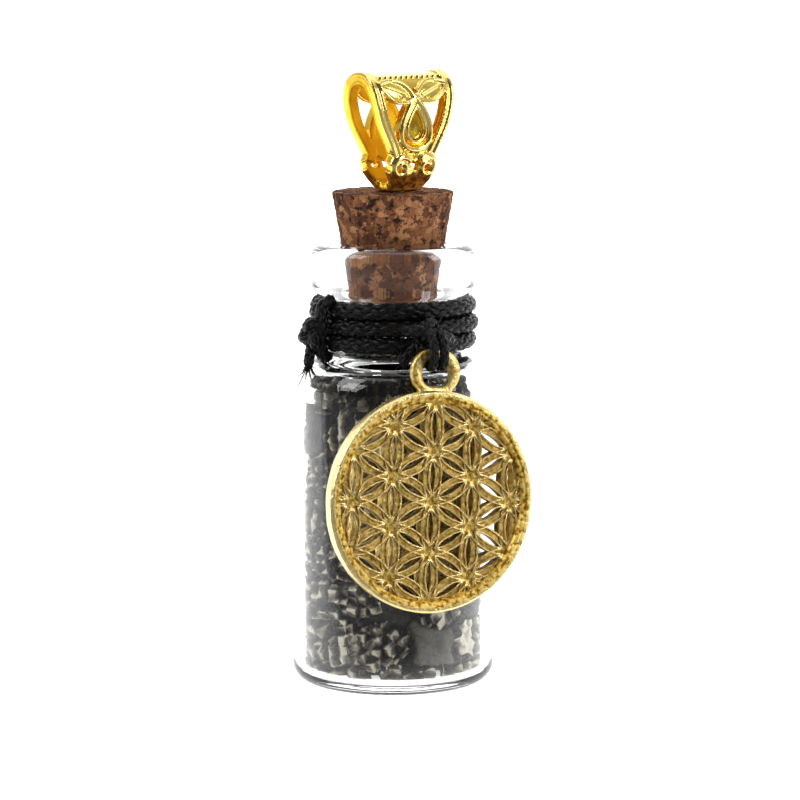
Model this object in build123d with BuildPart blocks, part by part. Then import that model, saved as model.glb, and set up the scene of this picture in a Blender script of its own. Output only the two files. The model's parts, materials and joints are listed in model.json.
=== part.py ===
"""Corked glass vial pendant filled with pyrite chips, with a bail and a hanging openwork charm.

Millimetres, +Z up. The origin is the centre of the vial's underside, on the surface it stands on.
-Y is the front: the charm hangs there, a little to the +X side.
"""
import math
import os
import random
from itertools import combinations

from build123d import *

os.makedirs("parts", exist_ok=True)

# ---- Vial ----
vial_diameter = 18.0
vial_height = 39.0
wall = 1.0
base_thickness = 1.0
heel_radius = 1.6
floor_radius = 1.0
shoulder_drop = 10.0        # from the mouth down to the flat of the shoulder
shoulder_radius = 2.8
shoulder_width = 3.2         # from the wall in to the neck
neck_diameter = vial_diameter - 2 * shoulder_width
neck_radius = 0.4           # fillet where the neck meets the shoulder
lip_overhang = 1.4
lip_diameter = neck_diameter + 2 * lip_overhang
lip_height = 4.5
lip_radius = 0.9
neck_wall = 1.22
bore_diameter = neck_diameter - 2 * neck_wall
mouth_radius = 0.5

# ---- Cork ----
cork_taper = 0.178          # growth of the radius for each millimetre of height
cork_depth = 4.6            # length inside the neck
cork_proud = 4.65           # length above the mouth
cork_clearance = 0.03
cork_edge = 0.3

# ---- Bail and its peg ----
peg_diameter = 1.5
peg_core_diameter = 1.2
peg_depth = 6.0
peg_barb_pitch = 1.2
peg_socket_depth = 0.8
peg_clearance = 0.05
peg_offset = 0.5            # the peg stands a little to the +X side of the cork's middle
bail_height = 10.5
bail_width = 9.2
bail_depth = 5.0
bail_thickness = 0.9
bail_foot_width = 4.0
bail_foot_depth = 2.6
bail_waist_width = 4.6
bail_turn = 40.0            # degrees that the front panel is turned towards +X
bail_gap = 0.03             # foot to cork

# ---- Neck cord ----
cord_diameter = 1.6
cord_turns = 3
cord_pitch = cord_diameter - 0.1   # the wound turns press into one another
cord_clearance = 0.03
knot_diameter = 3.0
knot_azimuth = -55.0        # degrees from the front, positive towards +X
knot_drop = 0.6             # both knots sit this much below the middle of the turns
tail_diameter = 1.1
tail_length = 1.5
tail_splay = 0.35           # outward for each millimetre down

# ---- Charm and the cord that carries it ----
charm_diameter = 19.2
charm_thickness = 1.6
rim_width = 0.95
lattice_thickness = 1.0
lattice_bar = 0.55
charm_azimuth = 25.0
charm_tilt = 4.0            # the top of the disc leans towards the neck
charm_lean = 4.4            # the top of the disc leans towards +X
charm_side_shift = -1.4     # disc centre, sideways from the line where it meets the glass
charm_gap = 0.12            # disc to glass
charm_drop = 2.6            # disc's top edge below the cord's lowest turn
ring_wire = 0.9
ring_bore = 2.4
ring_rise = 11.05           # ring centre above the disc centre
loop_cord_diameter = 1.05
loop_clearance = 0.06
barrel_diameter = 2.2
barrel_length = 4.2

# ---- Pyrite fill ----
chip_levels = 7
chips_per_level = 6
core_chips_per_level = 2
small_chip_groups = ["lower", "middle", "upper"]
chip_gap = 0.12
chip_wall_gap = 0.15
chip_seed = 23
chip_near_faces = 20        # faces near enough to meet in a corner
crumb_layer = 1.4
crumb_rings = [(0.86, 16), (0.55, 10), (0.22, 4)]   # share of the inner radius, count
large_chip = 1.6            # how far a chip pushes its neighbours away, against the others
small_chip = 1.0
crumb = 0.6

# ---- Sizes that follow ----
vial_radius = vial_diameter / 2
inner_radius = vial_radius - wall
neck_outer = neck_diameter / 2
lip_outer = lip_diameter / 2
bore_radius = bore_diameter / 2
shoulder_height = vial_height - shoulder_drop
lip_bottom = vial_height - lip_height
cork_top = vial_height + cork_proud
cork_bottom = vial_height - cork_depth
cork_seat_radius = bore_radius - cork_clearance


def cork_radius(height):
    """Radius of the tapered cork at a height; it seats where the mouth's rounding begins."""
    return cork_seat_radius + cork_taper * (height - (vial_height - mouth_radius))


def save(builder, name):
    """Label a finished piece and write it as its own STEP file."""
    builder.part.label = name
    export_step(builder.part, f"parts/{name}.step")


def front_direction(azimuth):
    """Horizontal unit vector pointing away from the axis, azimuth degrees from -Y towards +X."""
    angle = math.radians(azimuth)
    return Vector(math.sin(angle), -math.cos(angle), 0)


def side_direction(azimuth):
    """Horizontal unit vector along the surface of the vial at an azimuth, towards +X."""
    angle = math.radians(azimuth)
    return Vector(math.cos(angle), math.sin(angle), 0)


def round_corners(corners):
    """Fillet the open sketch's corners: a list of ((x, z), radius)."""
    for point, radius in corners:
        fillet(vertices().sort_by_distance(Vector(*point))[0], radius)


# ---- Glass vial ----
def make_vial():
    """Drawn glass tube: flat base, rounded shoulder, short neck and a thick rolled lip."""
    neck_corner = shoulder_height + neck_radius
    inner_shoulder = shoulder_height - wall
    with BuildPart() as vial:
        with BuildSketch(Plane.XZ):
            with BuildLine():
                Polyline(
                    (0, 0),
                    (vial_radius, 0),
                    (vial_radius, shoulder_height),
                    (neck_outer, neck_corner),
                    (neck_outer, lip_bottom),
                    (lip_outer, lip_bottom),
                    (lip_outer, vial_height),
                    (0, vial_height),
                    close=True,
                )
            make_face()
            round_corners([
                ((vial_radius, 0), heel_radius),
                ((vial_radius, shoulder_height), shoulder_radius),
                ((neck_outer, neck_corner), neck_radius),
                ((lip_outer, lip_bottom), lip_radius),
                ((lip_outer, vial_height), lip_radius),
            ])
        revolve(axis=Axis.Z)
        with BuildSketch(Plane.XZ):
            with BuildLine():
                Polyline(
                    (0, base_thickness),
                    (inner_radius, base_thickness),
                    (inner_radius, inner_shoulder),
                    (bore_radius, inner_shoulder + neck_radius),
                    (bore_radius, vial_height),
                    (bore_radius + 2 * mouth_radius, vial_height),
                    (bore_radius + 2 * mouth_radius, vial_height + 1),
                    (0, vial_height + 1),
                    close=True,
                )
            make_face()
            round_corners([
                ((inner_radius, base_thickness), floor_radius),
                ((inner_radius, inner_shoulder), shoulder_radius - wall),
                ((bore_radius, inner_shoulder + neck_radius), neck_radius),
                ((bore_radius, vial_height), mouth_radius),
            ])
        revolve(axis=Axis.Z, mode=Mode.SUBTRACT)
    save(vial, "glass_vial")


# ---- Cork ----
def make_cork():
    """Tapered agglomerated cork, bored down the middle for the bail's peg."""
    with BuildPart() as cork:
        with BuildSketch(Plane.XZ):
            with BuildLine():
                Polyline(
                    (0, cork_bottom),
                    (cork_radius(cork_bottom), cork_bottom),
                    (cork_radius(cork_top), cork_top),
                    (0, cork_top),
                    close=True,
                )
            make_face()
            round_corners([
                ((cork_radius(cork_bottom), cork_bottom), cork_edge),
                ((cork_radius(cork_top), cork_top), cork_edge),
            ])
        revolve(axis=Axis.Z)
        with Locations((peg_offset, 0, cork_top)):
            Hole(peg_diameter / 2 + peg_clearance, depth=peg_depth + peg_clearance)
    save(cork, "cork_stopper")


# ---- Bail ----
bail_plane = Plane(
    origin=(peg_offset, 0, cork_top + bail_gap),
    x_dir=side_direction(bail_turn),
    z_dir=front_direction(bail_turn),
)   # x across the strap, y up, z out of the front panel
strap_plane = Plane(
    origin=bail_plane.origin,
    x_dir=bail_plane.z_dir,
    z_dir=-bail_plane.x_dir,
)   # x from the rear panel to the front one, y up, z along the eye


def make_bail():
    """Cast strap bent into an eye: two shield-shaped panels that join over the top and at the foot."""
    half_depth = bail_depth / 2
    shoulder = bail_height * 0.62
    waist = bail_height * 0.30
    with BuildPart() as bail:
        with BuildSketch(strap_plane) as loop:
            with BuildLine():
                Polyline(
                    (-bail_foot_depth / 2, 0),
                    (-half_depth, waist),
                    (-half_depth, bail_height),
                    (half_depth, bail_height),
                    (half_depth, waist),
                    (bail_foot_depth / 2, 0),
                    close=True,
                )
            make_face()
            round_corners([
                ((-half_depth, bail_height), half_depth * 0.8),
                ((half_depth, bail_height), half_depth * 0.8),
                ((-half_depth, waist), half_depth),
                ((half_depth, waist), half_depth),
            ])
            offset(amount=-bail_thickness, kind=Kind.INTERSECTION, mode=Mode.SUBTRACT)
        extrude(amount=bail_width / 2, both=True)
        with BuildSketch(bail_plane):
            with BuildLine():
                Polyline(
                    (-bail_foot_width / 2, 0),
                    (-bail_waist_width / 2, waist),
                    (-bail_width / 2, shoulder),
                    (-bail_width / 2, bail_height),
                    (bail_width / 2, bail_height),
                    (bail_width / 2, shoulder),
                    (bail_waist_width / 2, waist),
                    (bail_foot_width / 2, 0),
                    close=True,
                )
            make_face()
        extrude(amount=bail_depth, both=True, mode=Mode.INTERSECT)
        with BuildSketch(bail_plane):
            eye_height = (shoulder + waist) / 2 + bail_thickness
            with Locations((0, eye_height)):
                Circle((shoulder - waist) / 2)
                Circle((shoulder - waist) / 4, mode=Mode.SUBTRACT)
                Rectangle(bail_thickness, shoulder - waist, mode=Mode.SUBTRACT)
        extrude(amount=bail_depth, both=True, mode=Mode.SUBTRACT)
        with BuildSketch(Plane.XY.offset(cork_top)):
            with Locations((peg_offset, 0)):
                Circle(peg_core_diameter / 2 + peg_clearance / 2)
        extrude(amount=bail_gap + peg_socket_depth, mode=Mode.SUBTRACT)
    save(bail, "filigree_bail")


def make_peg():
    """Barbed wire peg, soldered into the bail's foot and pushed down into the cork."""
    peg_top = cork_top + bail_gap + peg_socket_depth
    barbs = int((peg_depth - peg_barb_pitch) / peg_barb_pitch)
    with BuildPart() as peg:
        with BuildSketch(Plane.XY.offset(cork_top - peg_depth)):
            with Locations((peg_offset, 0)):
                Circle(peg_core_diameter / 2)
        extrude(amount=peg_top - cork_top + peg_depth)
        for index in range(barbs):
            height = cork_top - peg_depth + peg_barb_pitch * (index + 0.5)
            barb_middle = (peg_offset, 0, height + peg_barb_pitch / 2)
            with Locations(barb_middle):
                Cone(peg_core_diameter / 2, peg_diameter / 2, peg_barb_pitch)
    save(peg, "bail_peg")


# ---- Neck cord ----
cord_ring_radius = neck_outer + cord_clearance + cord_diameter / 2
cord_top_turn = lip_bottom - cord_clearance - cord_diameter / 2
cord_turn_heights = [cord_top_turn - cord_pitch * turn for turn in range(cord_turns)]
cord_outer = cord_ring_radius + cord_diameter / 2
knot_height = sum(cord_turn_heights) / cord_turns - knot_drop
cord_lowest = cord_turn_heights[-1] - cord_diameter / 2


def turns_profile(extra=0.0):
    """Section through the wound turns of the neck cord, grown by extra all round."""
    with BuildSketch(Plane.XZ) as profile:
        for height in cord_turn_heights:
            with Locations((cord_ring_radius, height)):
                Circle(cord_diameter / 2 + extra)
    return profile.sketch


def make_neck_cord():
    """Waxed braided cord wound round the neck under the lip."""
    with BuildPart() as cord:
        revolve(turns_profile(), axis=Axis.Z)
    save(cord, "neck_cord")


knot_centre = front_direction(knot_azimuth) * (cord_outer + knot_diameter / 4) + Vector(0, 0, knot_height)


def make_neck_cord_knot():
    """Overhand knot that ties the wound cord, bedded into its turns."""
    with BuildPart() as knot:
        with Locations(knot_centre):
            Sphere(knot_diameter / 2)
        revolve(turns_profile(cord_clearance), axis=Axis.Z, mode=Mode.SUBTRACT)
    save(knot, "neck_cord_knot")


def make_neck_cord_tail():
    """Cut end of the neck cord, hanging below its knot."""
    hang = (front_direction(knot_azimuth) * tail_splay - Vector(0, 0, 1)).normalized()
    top = knot_centre + hang * (knot_diameter / 2 + cord_clearance)
    with BuildPart() as tail:
        with BuildSketch(Plane(origin=top, z_dir=hang)):
            Circle(tail_diameter / 2)
        extrude(amount=tail_length)
        fillet(tail.faces().sort_by(Axis.Z)[0].edges(), tail_diameter / 4)
    save(tail, "neck_cord_tail")


# ---- Charm ----
charm_radius = charm_diameter / 2
lattice_radius = charm_radius - rim_width
lattice_pitch = lattice_radius / 2
charm_top = cord_lowest - charm_drop
charm_normal = front_direction(charm_azimuth).rotate(
    Axis((0, 0, 0), side_direction(charm_azimuth)), -charm_tilt)
charm_side = side_direction(charm_azimuth).rotate(Axis((0, 0, 0), charm_normal), -charm_lean)
charm_up = charm_normal.cross(charm_side)


def charm_centre():
    """Middle of the disc: its back leans on the top of the straight wall, just below the shoulder."""
    touch_height = shoulder_height - shoulder_radius
    centre_height = charm_top - charm_radius
    back = (charm_thickness / 2 + charm_gap) / math.cos(math.radians(charm_tilt))
    lean_out = (touch_height - centre_height) * math.tan(math.radians(charm_tilt))
    outward = front_direction(charm_azimuth) * (vial_radius + back + lean_out)
    sideways = side_direction(charm_azimuth) * charm_side_shift
    return outward + sideways + Vector(0, 0, centre_height)


charm_plane = Plane(origin=charm_centre(), x_dir=charm_side, z_dir=charm_normal)
ring_centre = charm_plane.from_local_coords(Vector(0, ring_rise, 0))


def lattice_points(rings):
    """Points of a triangular lattice, out to a number of rings round the middle one."""
    points = []
    for row in range(-rings, rings + 1):
        for place in range(-rings, rings + 1):
            if abs(row + place) <= rings:
                points.append((row * math.sqrt(3) / 2, place + row / 2))
    return points


def make_charm():
    """One casting: a raised rim, a lattice of overlapping circles inside it, and a ring on top."""
    ring_radius = (ring_bore + ring_wire) / 2
    with BuildSketch() as circle:
        Circle(lattice_pitch + lattice_bar / 2)
        Circle(lattice_pitch - lattice_bar / 2, mode=Mode.SUBTRACT)
    with BuildPart() as charm:
        with BuildSketch(charm_plane.offset(-lattice_thickness / 2)):
            for x, y in lattice_points(3):
                with Locations((x * lattice_pitch, y * lattice_pitch)):
                    add(circle.sketch)
            Circle(lattice_radius + rim_width / 2, mode=Mode.INTERSECT)
        extrude(amount=lattice_thickness)
        with BuildSketch(charm_plane.offset(-charm_thickness / 2)):
            Circle(charm_radius)
            Circle(lattice_radius, mode=Mode.SUBTRACT)
        extrude(amount=charm_thickness)
        with Locations(charm_plane):
            with Locations((0, ring_rise, 0)):
                Torus(ring_radius, ring_wire / 2)
    save(charm, "charm_disc")


# ---- Cord that carries the charm ----
loop_azimuth = math.degrees(math.atan2(ring_centre.X, -ring_centre.Y))
loop_half_width = ring_wire / 2 + loop_clearance + loop_cord_diameter / 2 + 0.15
loop_bottom = ring_centre.Z + ring_bore / 2 - loop_cord_diameter / 2 - loop_clearance
ring_distance = math.hypot(ring_centre.X, ring_centre.Y)
barrel_distance = cord_outer + cord_clearance + barrel_diameter / 2
barrel_centre = front_direction(loop_azimuth) * barrel_distance + Vector(0, 0, knot_height)


def make_charm_cord_knot():
    """Barrel knot on the front of the wound cord, from which the charm's loop hangs."""
    axis_plane = Plane(
        origin=barrel_centre - side_direction(loop_azimuth) * barrel_length / 2,
        z_dir=side_direction(loop_azimuth),
    )
    with BuildPart() as knot:
        with BuildSketch(axis_plane):
            Circle(barrel_diameter / 2)
        extrude(amount=barrel_length)
        fillet(knot.edges().filter_by(GeomType.CIRCLE), barrel_diameter / 4)
    save(knot, "charm_cord_knot")


def make_charm_cord_loop():
    """Loop of thin cord from the knot, down in front of the charm's ring and back through it."""
    # local x runs outward from the vial's axis, local y is up
    loop_plane = Plane(
        origin=(0, 0, 0),
        x_dir=front_direction(loop_azimuth),
        z_dir=-side_direction(loop_azimuth),
    )
    front = ring_distance + loop_half_width
    rear = ring_distance - loop_half_width
    knot_reach = barrel_diameter / 2 + loop_cord_diameter / 2 + loop_clearance
    start = (barrel_distance + knot_reach * 0.94, knot_height + 0.1)
    finish = (rear, knot_height - barrel_diameter / 2 - loop_clearance)
    bend = 0.95 * min(loop_half_width, finish[1] - loop_bottom)
    with BuildPart() as loop:
        with BuildLine(loop_plane) as route:
            FilletPolyline(
                start,
                (front, start[1] - 0.4),
                (front, loop_bottom),
                (rear, loop_bottom),
                finish,
                radius=[bend / 2, bend, bend],
            )
        with BuildSketch(Plane(origin=route.line @ 0, z_dir=route.line % 0)):
            Circle(loop_cord_diameter / 2)
        sweep(path=route.line)
    save(loop, "charm_cord_loop")


# ---- Pyrite fill ----
def chip_space():
    """Flat faces that bound the space for the chips, as (outward direction, distance)."""
    sides = 24
    flat = (inner_radius - chip_wall_gap) * math.cos(math.pi / sides)
    shoulder_curve = shoulder_radius - wall
    slope_top = flat + shoulder_height - wall - (2 - math.sqrt(2)) * shoulder_curve - chip_wall_gap
    slope_foot = flat - base_thickness - (2 - math.sqrt(2)) * floor_radius - chip_wall_gap
    faces = [(Vector(0, 0, 1), shoulder_height - wall - chip_wall_gap)]
    for side in range(sides):
        angle = 2 * math.pi * side / sides
        around = Vector(math.cos(angle), math.sin(angle), 0)
        faces.append((around, flat))
        faces.append(((around + Vector(0, 0, 1)).normalized(), slope_top / math.sqrt(2)))
        faces.append(((around - Vector(0, 0, 1)).normalized(), slope_foot / math.sqrt(2)))
    return faces


def chip_corners(seed, faces):
    """Corners of the convex chip that a set of faces encloses; far faces only limit it."""
    faces = sorted(faces, key=lambda face: face[1] - face[0].dot(seed))
    corners = []
    for (n1, d1), (n2, d2), (n3, d3) in combinations(faces[:chip_near_faces], 3):
        cross = n2.cross(n3)
        share = n1.dot(cross)
        if abs(share) < 1e-6:
            continue
        corner = (cross * d1 + n3.cross(n1) * d2 + n1.cross(n2) * d3) / share
        if all(normal.dot(corner) <= distance + 1e-6 for normal, distance in faces):
            corners.append(corner)
    return corners


def chip_faces(seed, size, seeds, space):
    """Faces of one chip: towards each neighbour, the glass, and a few random breaks."""
    reach = size * level_height * 0.45
    faces = []
    for other, other_size in seeds:
        towards = other - seed
        if 0 < towards.length < 2.2 * level_height:
            normal = towards.normalized()
            share = towards.length * size / (size + other_size)
            faces.append((normal, normal.dot(seed) + share - chip_gap / 2))
    for normal, distance in space:
        if distance - normal.dot(seed) < 1.4 * level_height:
            faces.append((normal, distance))
    for _ in range(6):
        height = random.uniform(-0.8, 0.8)
        angle = random.uniform(0, 2 * math.pi)
        flat = math.sqrt(1 - height * height)
        normal = Vector(flat * math.cos(angle), flat * math.sin(angle), height)
        faces.append((normal, normal.dot(seed) + reach * random.uniform(0.8, 1.15)))
    return faces


def chip_solid(seed, size, seeds, space):
    """Solid chip round a seed, with corners that nearly meet joined into one."""
    corners = []
    for corner in chip_corners(seed, chip_faces(seed, size, seeds, space)):
        if all((corner - kept).length > 0.05 for kept in corners):
            corners.append(corner)
    return ConvexPolyhedron(corners, mode=Mode.PRIVATE)


def ring_seeds(radius, count, height, turn, spread):
    """Places of one ring of chips, each moved a little at random."""
    seeds = []
    for index in range(count):
        angle = 2 * math.pi * (index + turn) / count + random.uniform(-0.12, 0.12) * spread
        distance = radius + random.uniform(-0.3, 0.3) * spread
        lift = random.uniform(-0.5, 0.5) * spread
        seeds.append(Vector(distance * math.cos(angle), distance * math.sin(angle), height + lift))
    return seeds


chip_floor = base_thickness + crumb_layer + chip_gap
level_height = (shoulder_height - wall - chip_wall_gap - chip_floor) / chip_levels


def make_chips():
    """Chips in level after level up to the shoulder: large ones, small ones by the glass, a core."""
    random.seed(chip_seed)
    large = []
    small = []
    core = []
    for level in range(chip_levels):
        height = chip_floor + level_height * (level + 0.5)
        narrow = 0.78 if level == chip_levels - 1 else 1.0
        turn = level / 2
        large += ring_seeds(inner_radius * 0.64 * narrow, chips_per_level, height, turn, 1.0)
        small += ring_seeds(inner_radius * 0.84 * narrow, chips_per_level, height, turn + 0.5, 0.8)
        core += ring_seeds(inner_radius * 0.2, core_chips_per_level, height, level / 3, 0.5)
    seeds = [(place, large_chip) for place in large + core]
    seeds += [(place, small_chip) for place in small]
    space = chip_space() + [(Vector(0, 0, -1), -chip_floor)]
    for index, place in enumerate(large):
        with BuildPart() as chip:
            add(chip_solid(place, large_chip, seeds, space))
        save(chip, f"pyrite_chip_{index + 1:02d}")
    for group, name in enumerate(small_chip_groups):
        first = len(small) * group // len(small_chip_groups)
        last = len(small) * (group + 1) // len(small_chip_groups)
        with BuildPart() as chips:
            for place in small[first:last]:
                add(chip_solid(place, small_chip, seeds, space))
        save(chips, f"pyrite_small_chips_{name}")
    with BuildPart() as chips:
        for place in core:
            add(chip_solid(place, large_chip, seeds, space))
    save(chips, "pyrite_core_chips")


def make_crumbs():
    """Small crumbs that have sifted down to the floor of the vial."""
    random.seed(chip_seed + 1)
    low = base_thickness + cord_clearance
    high = base_thickness + crumb_layer
    seeds = []
    for share, count in crumb_rings:
        places = ring_seeds(inner_radius * share, count, (low + high) / 2, share, 0.4)
        seeds += [(place, crumb) for place in places]
    space = chip_space() + [(Vector(0, 0, -1), -low), (Vector(0, 0, 1), high)]
    with BuildPart() as crumbs:
        for place, size in seeds:
            add(chip_solid(place, size, seeds, space))
    save(crumbs, "pyrite_crumbs")


make_vial()
make_cork()
make_bail()
make_peg()
make_neck_cord()
make_neck_cord_knot()
make_neck_cord_tail()
make_charm()
make_charm_cord_knot()
make_charm_cord_loop()
make_chips()
make_crumbs()
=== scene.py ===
# %% [markdown]
# A corked glass vial that is worn as a pendant. The imported model gives every piece its place and
# the way it moves; this script gives each piece its real surface. It loads that frame first and
# keeps the frame's boxes to read sizes from.

# %% Load the fixed frame
import json
import math
import random

import bmesh
import bpy
from mathutils import Matrix, Vector, noise


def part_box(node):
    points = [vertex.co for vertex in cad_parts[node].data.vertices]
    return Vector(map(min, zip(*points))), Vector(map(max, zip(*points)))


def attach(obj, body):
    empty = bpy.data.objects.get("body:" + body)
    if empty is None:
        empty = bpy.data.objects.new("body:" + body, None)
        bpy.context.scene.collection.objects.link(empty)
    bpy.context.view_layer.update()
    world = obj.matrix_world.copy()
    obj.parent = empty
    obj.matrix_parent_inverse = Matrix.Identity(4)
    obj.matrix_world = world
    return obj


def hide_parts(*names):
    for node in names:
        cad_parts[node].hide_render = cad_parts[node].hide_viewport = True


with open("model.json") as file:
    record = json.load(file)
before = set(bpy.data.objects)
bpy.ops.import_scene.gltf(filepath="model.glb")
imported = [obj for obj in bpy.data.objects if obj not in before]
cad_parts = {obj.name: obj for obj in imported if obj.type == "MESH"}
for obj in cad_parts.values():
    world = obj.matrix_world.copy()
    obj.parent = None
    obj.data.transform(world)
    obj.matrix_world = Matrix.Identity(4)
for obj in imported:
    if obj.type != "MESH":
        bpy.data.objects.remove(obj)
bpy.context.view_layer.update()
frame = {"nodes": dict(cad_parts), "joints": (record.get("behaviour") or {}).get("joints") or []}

mm = 0.001
scene = bpy.context.scene

# %% [markdown]
# The camera comes first. It looks from a little above, through a long lens, so that the top of
# the cork and the inside of the lip just show as narrow ovals.

# %% Camera
look_down = 8.09
camera_data = bpy.data.cameras.new("camera")
camera_data.sensor_width = 36.0
camera_data.lens = 153.7
camera_data.clip_start = 0.01
camera = bpy.data.objects.new("camera", camera_data)
camera.location = (0.63 * mm, -300 * mm, 67.7 * mm)
camera.rotation_euler = (math.radians(90 - look_down), 0, 0)
scene.collection.objects.link(camera)
scene.camera = camera
print("camera looks down by", look_down, "degrees")

# %% [markdown]
# Every finish here is a node tree, and most trees need the same few steps: place a node, feed its
# sockets, spread a value over a new range, mix two colours, turn a height into a normal. Each step
# is a small function, so that a finish reads as a list of what it does to the surface.

# %% Node helpers
def feed(tree, socket, value):
    """Link a socket to another node's output, or set its own value; a colour gets its alpha."""
    if isinstance(value, bpy.types.NodeSocket):
        tree.links.new(value, socket)
    elif socket.type == "RGBA":
        socket.default_value = (*value[:3], 1)
    else:
        socket.default_value = value


def feed_all(tree, node, inputs):
    for key, value in inputs.items():
        feed(tree, node.inputs[key], value)


def place_node(tree, kind, inputs=None, **settings):
    node = tree.nodes.new(kind)
    for key, value in settings.items():
        setattr(node, key, value)
    feed_all(tree, node, inputs or {})
    return node


def maths(tree, operation, first, second=0.0, third=0.0, clamp=False):
    return place_node(tree, "ShaderNodeMath", {0: first, 1: second, 2: third},
                      operation=operation, use_clamp=clamp).outputs[0]


def spread(tree, value, low, high, to_low=0.0, to_high=1.0):
    """Stretch the part of a value from low to high over a new range, and hold it at both ends."""
    return place_node(tree, "ShaderNodeMapRange", {
        "Value": value, "From Min": low, "From Max": high,
        "To Min": to_low, "To Max": to_high}).outputs["Result"]


def colour_ramp(tree, factor, stops):
    node = place_node(tree, "ShaderNodeValToRGB", {"Fac": factor})
    elements = node.color_ramp.elements
    while len(elements) < len(stops):
        elements.new(0.5)
    for element, (position, colour) in zip(elements, stops):
        element.position = position
        element.color = (*colour, 1)
    return node.outputs["Color"]


def mix_colour(tree, factor, first, second, blend="MIX"):
    node = place_node(tree, "ShaderNodeMix", data_type="RGBA", blend_type=blend)
    feed_all(tree, node, {0: factor, 6: first, 7: second})
    return node.outputs[2]


def bump(tree, height, strength, distance):
    return place_node(tree, "ShaderNodeBump", {
        "Height": height, "Strength": strength, "Distance": distance}).outputs["Normal"]


def kept_value(tree, name):
    """A value that each point of a mesh keeps, such as how far it stands up."""
    return place_node(tree, "ShaderNodeAttribute", attribute_name=name).outputs["Fac"]


def object_place(tree):
    return tree.nodes.new("ShaderNodeTexCoord").outputs["Object"]


def new_material(name):
    material = bpy.data.materials.new(name)
    material.use_nodes = True
    return material, material.node_tree, material.node_tree.nodes["Principled BSDF"]


# %% [markdown]
# A white surface and a bright surround make clear glass and gold readable only if something dark
# is left for them to mirror. The surround is white behind and above, and darker on the camera's
# side, and four soft boxes light the fill and give the metal its long highlights.

# %% Studio
scene.view_settings.view_transform = "Standard"
scene.view_settings.look = "None"
lamp_target = Vector((0, 0, 27 * mm))
for name, place, width, height, power in (
        ("left soft box", (-0.34, -0.22, 0.30), 0.20, 0.30, 0.95),
        ("right soft box", (0.36, -0.16, 0.20), 0.14, 0.30, 0.75),
        ("top soft box", (0.02, 0.06, 0.52), 0.36, 0.36, 0.45),
        ("back soft box", (0.0, 0.55, 0.25), 0.9, 0.5, 1.5)):
    lamp = bpy.data.lights.new(name, "AREA")
    lamp.shape = "RECTANGLE"
    lamp.size = width
    lamp.size_y = height
    lamp.energy = power
    soft_box = bpy.data.objects.new(name, lamp)
    soft_box.location = place
    soft_box.rotation_mode = "QUATERNION"
    soft_box.rotation_quaternion = (lamp_target - Vector(place)).to_track_quat("-Z", "Y")
    scene.collection.objects.link(soft_box)

world = bpy.data.worlds.new("surround")
world.use_nodes = True
scene.world = world
surround = world.node_tree
direction = place_node(surround, "ShaderNodeSeparateXYZ", {
    0: surround.nodes.new("ShaderNodeTexCoord").outputs["Generated"]})
feed_all(surround, surround.nodes["Background"], {
    "Color": (1, 1, 1), "Strength": spread(surround, direction.outputs["Y"], -0.5, 0.85, 0.10, 1.0)})

# %% [markdown]
# Two effects turn up in many finishes, so each is a shader node group, built once and placed with
# its own values. Fine grain is mottling: an amount for colour and a height for bump. Edge wear
# reads how far a point stands up, breaks that up with noise, and gives one mask for raised places
# and one for sunken places. On the gold these are places rubbed bright and places where patina
# stays; on the pyrite crystals the same masks paint a highlight and shade in the crevices.

# %% Grain and wear groups
def new_group(name, inputs, outputs):
    group = bpy.data.node_groups.new(name, "ShaderNodeTree")
    for label, value in inputs:
        group.interface.new_socket(label, in_out="INPUT", socket_type="NodeSocketFloat").default_value = value
    for label in outputs:
        group.interface.new_socket(label, in_out="OUTPUT", socket_type="NodeSocketFloat")
    return group, group.nodes.new("NodeGroupInput"), group.nodes.new("NodeGroupOutput")


def use_group(tree, group, inputs):
    node = tree.nodes.new("ShaderNodeGroup")
    node.node_tree = group
    feed_all(tree, node, inputs)
    return node.outputs


grain, start, end = new_group("fine grain", [("Size", 1500.0), ("Contrast", 0.5)], ["Amount", "Height"])
fine = place_node(grain, "ShaderNodeTexNoise", {
    "Vector": object_place(grain), "Scale": start.outputs["Size"], "Detail": 6.0, "Roughness": 0.6})
centred = maths(grain, "SUBTRACT", fine.outputs["Fac"], 0.5)
contrasted = maths(grain, "MULTIPLY", centred, start.outputs["Contrast"])
feed_all(grain, end, {
    "Amount": maths(grain, "ADD", contrasted, 0.5, clamp=True), "Height": fine.outputs["Fac"]})

wear_and_painted_light, start, end = new_group(
    "edge wear", [("Relief", 0.5), ("Break Up", 0.3), ("Size", 900.0)], ["Raised", "Sunken"])
patches = place_node(wear_and_painted_light, "ShaderNodeTexNoise", {
    "Vector": object_place(wear_and_painted_light), "Scale": start.outputs["Size"], "Detail": 4.0})
centred = maths(wear_and_painted_light, "SUBTRACT", patches.outputs["Fac"], 0.5)
broken = maths(wear_and_painted_light, "MULTIPLY_ADD", centred, start.outputs["Break Up"], start.outputs["Relief"])
feed_all(wear_and_painted_light, end, {"Raised": spread(wear_and_painted_light, broken, 0.62, 0.86), "Sunken": spread(wear_and_painted_light, broken, 0.50, 0.20)})
print("shared effects", [group.name for group in (grain, wear_and_painted_light)])

# %% [markdown]
# Clear glass bends light, and a path tracer then finds it hard to light what is inside. Rays on
# their way to a lamp are let straight through, so the fill is lit as it is through thin real
# glass. A faint film of handling marks lives in the roughness only, and slow waves in the normal.

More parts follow.
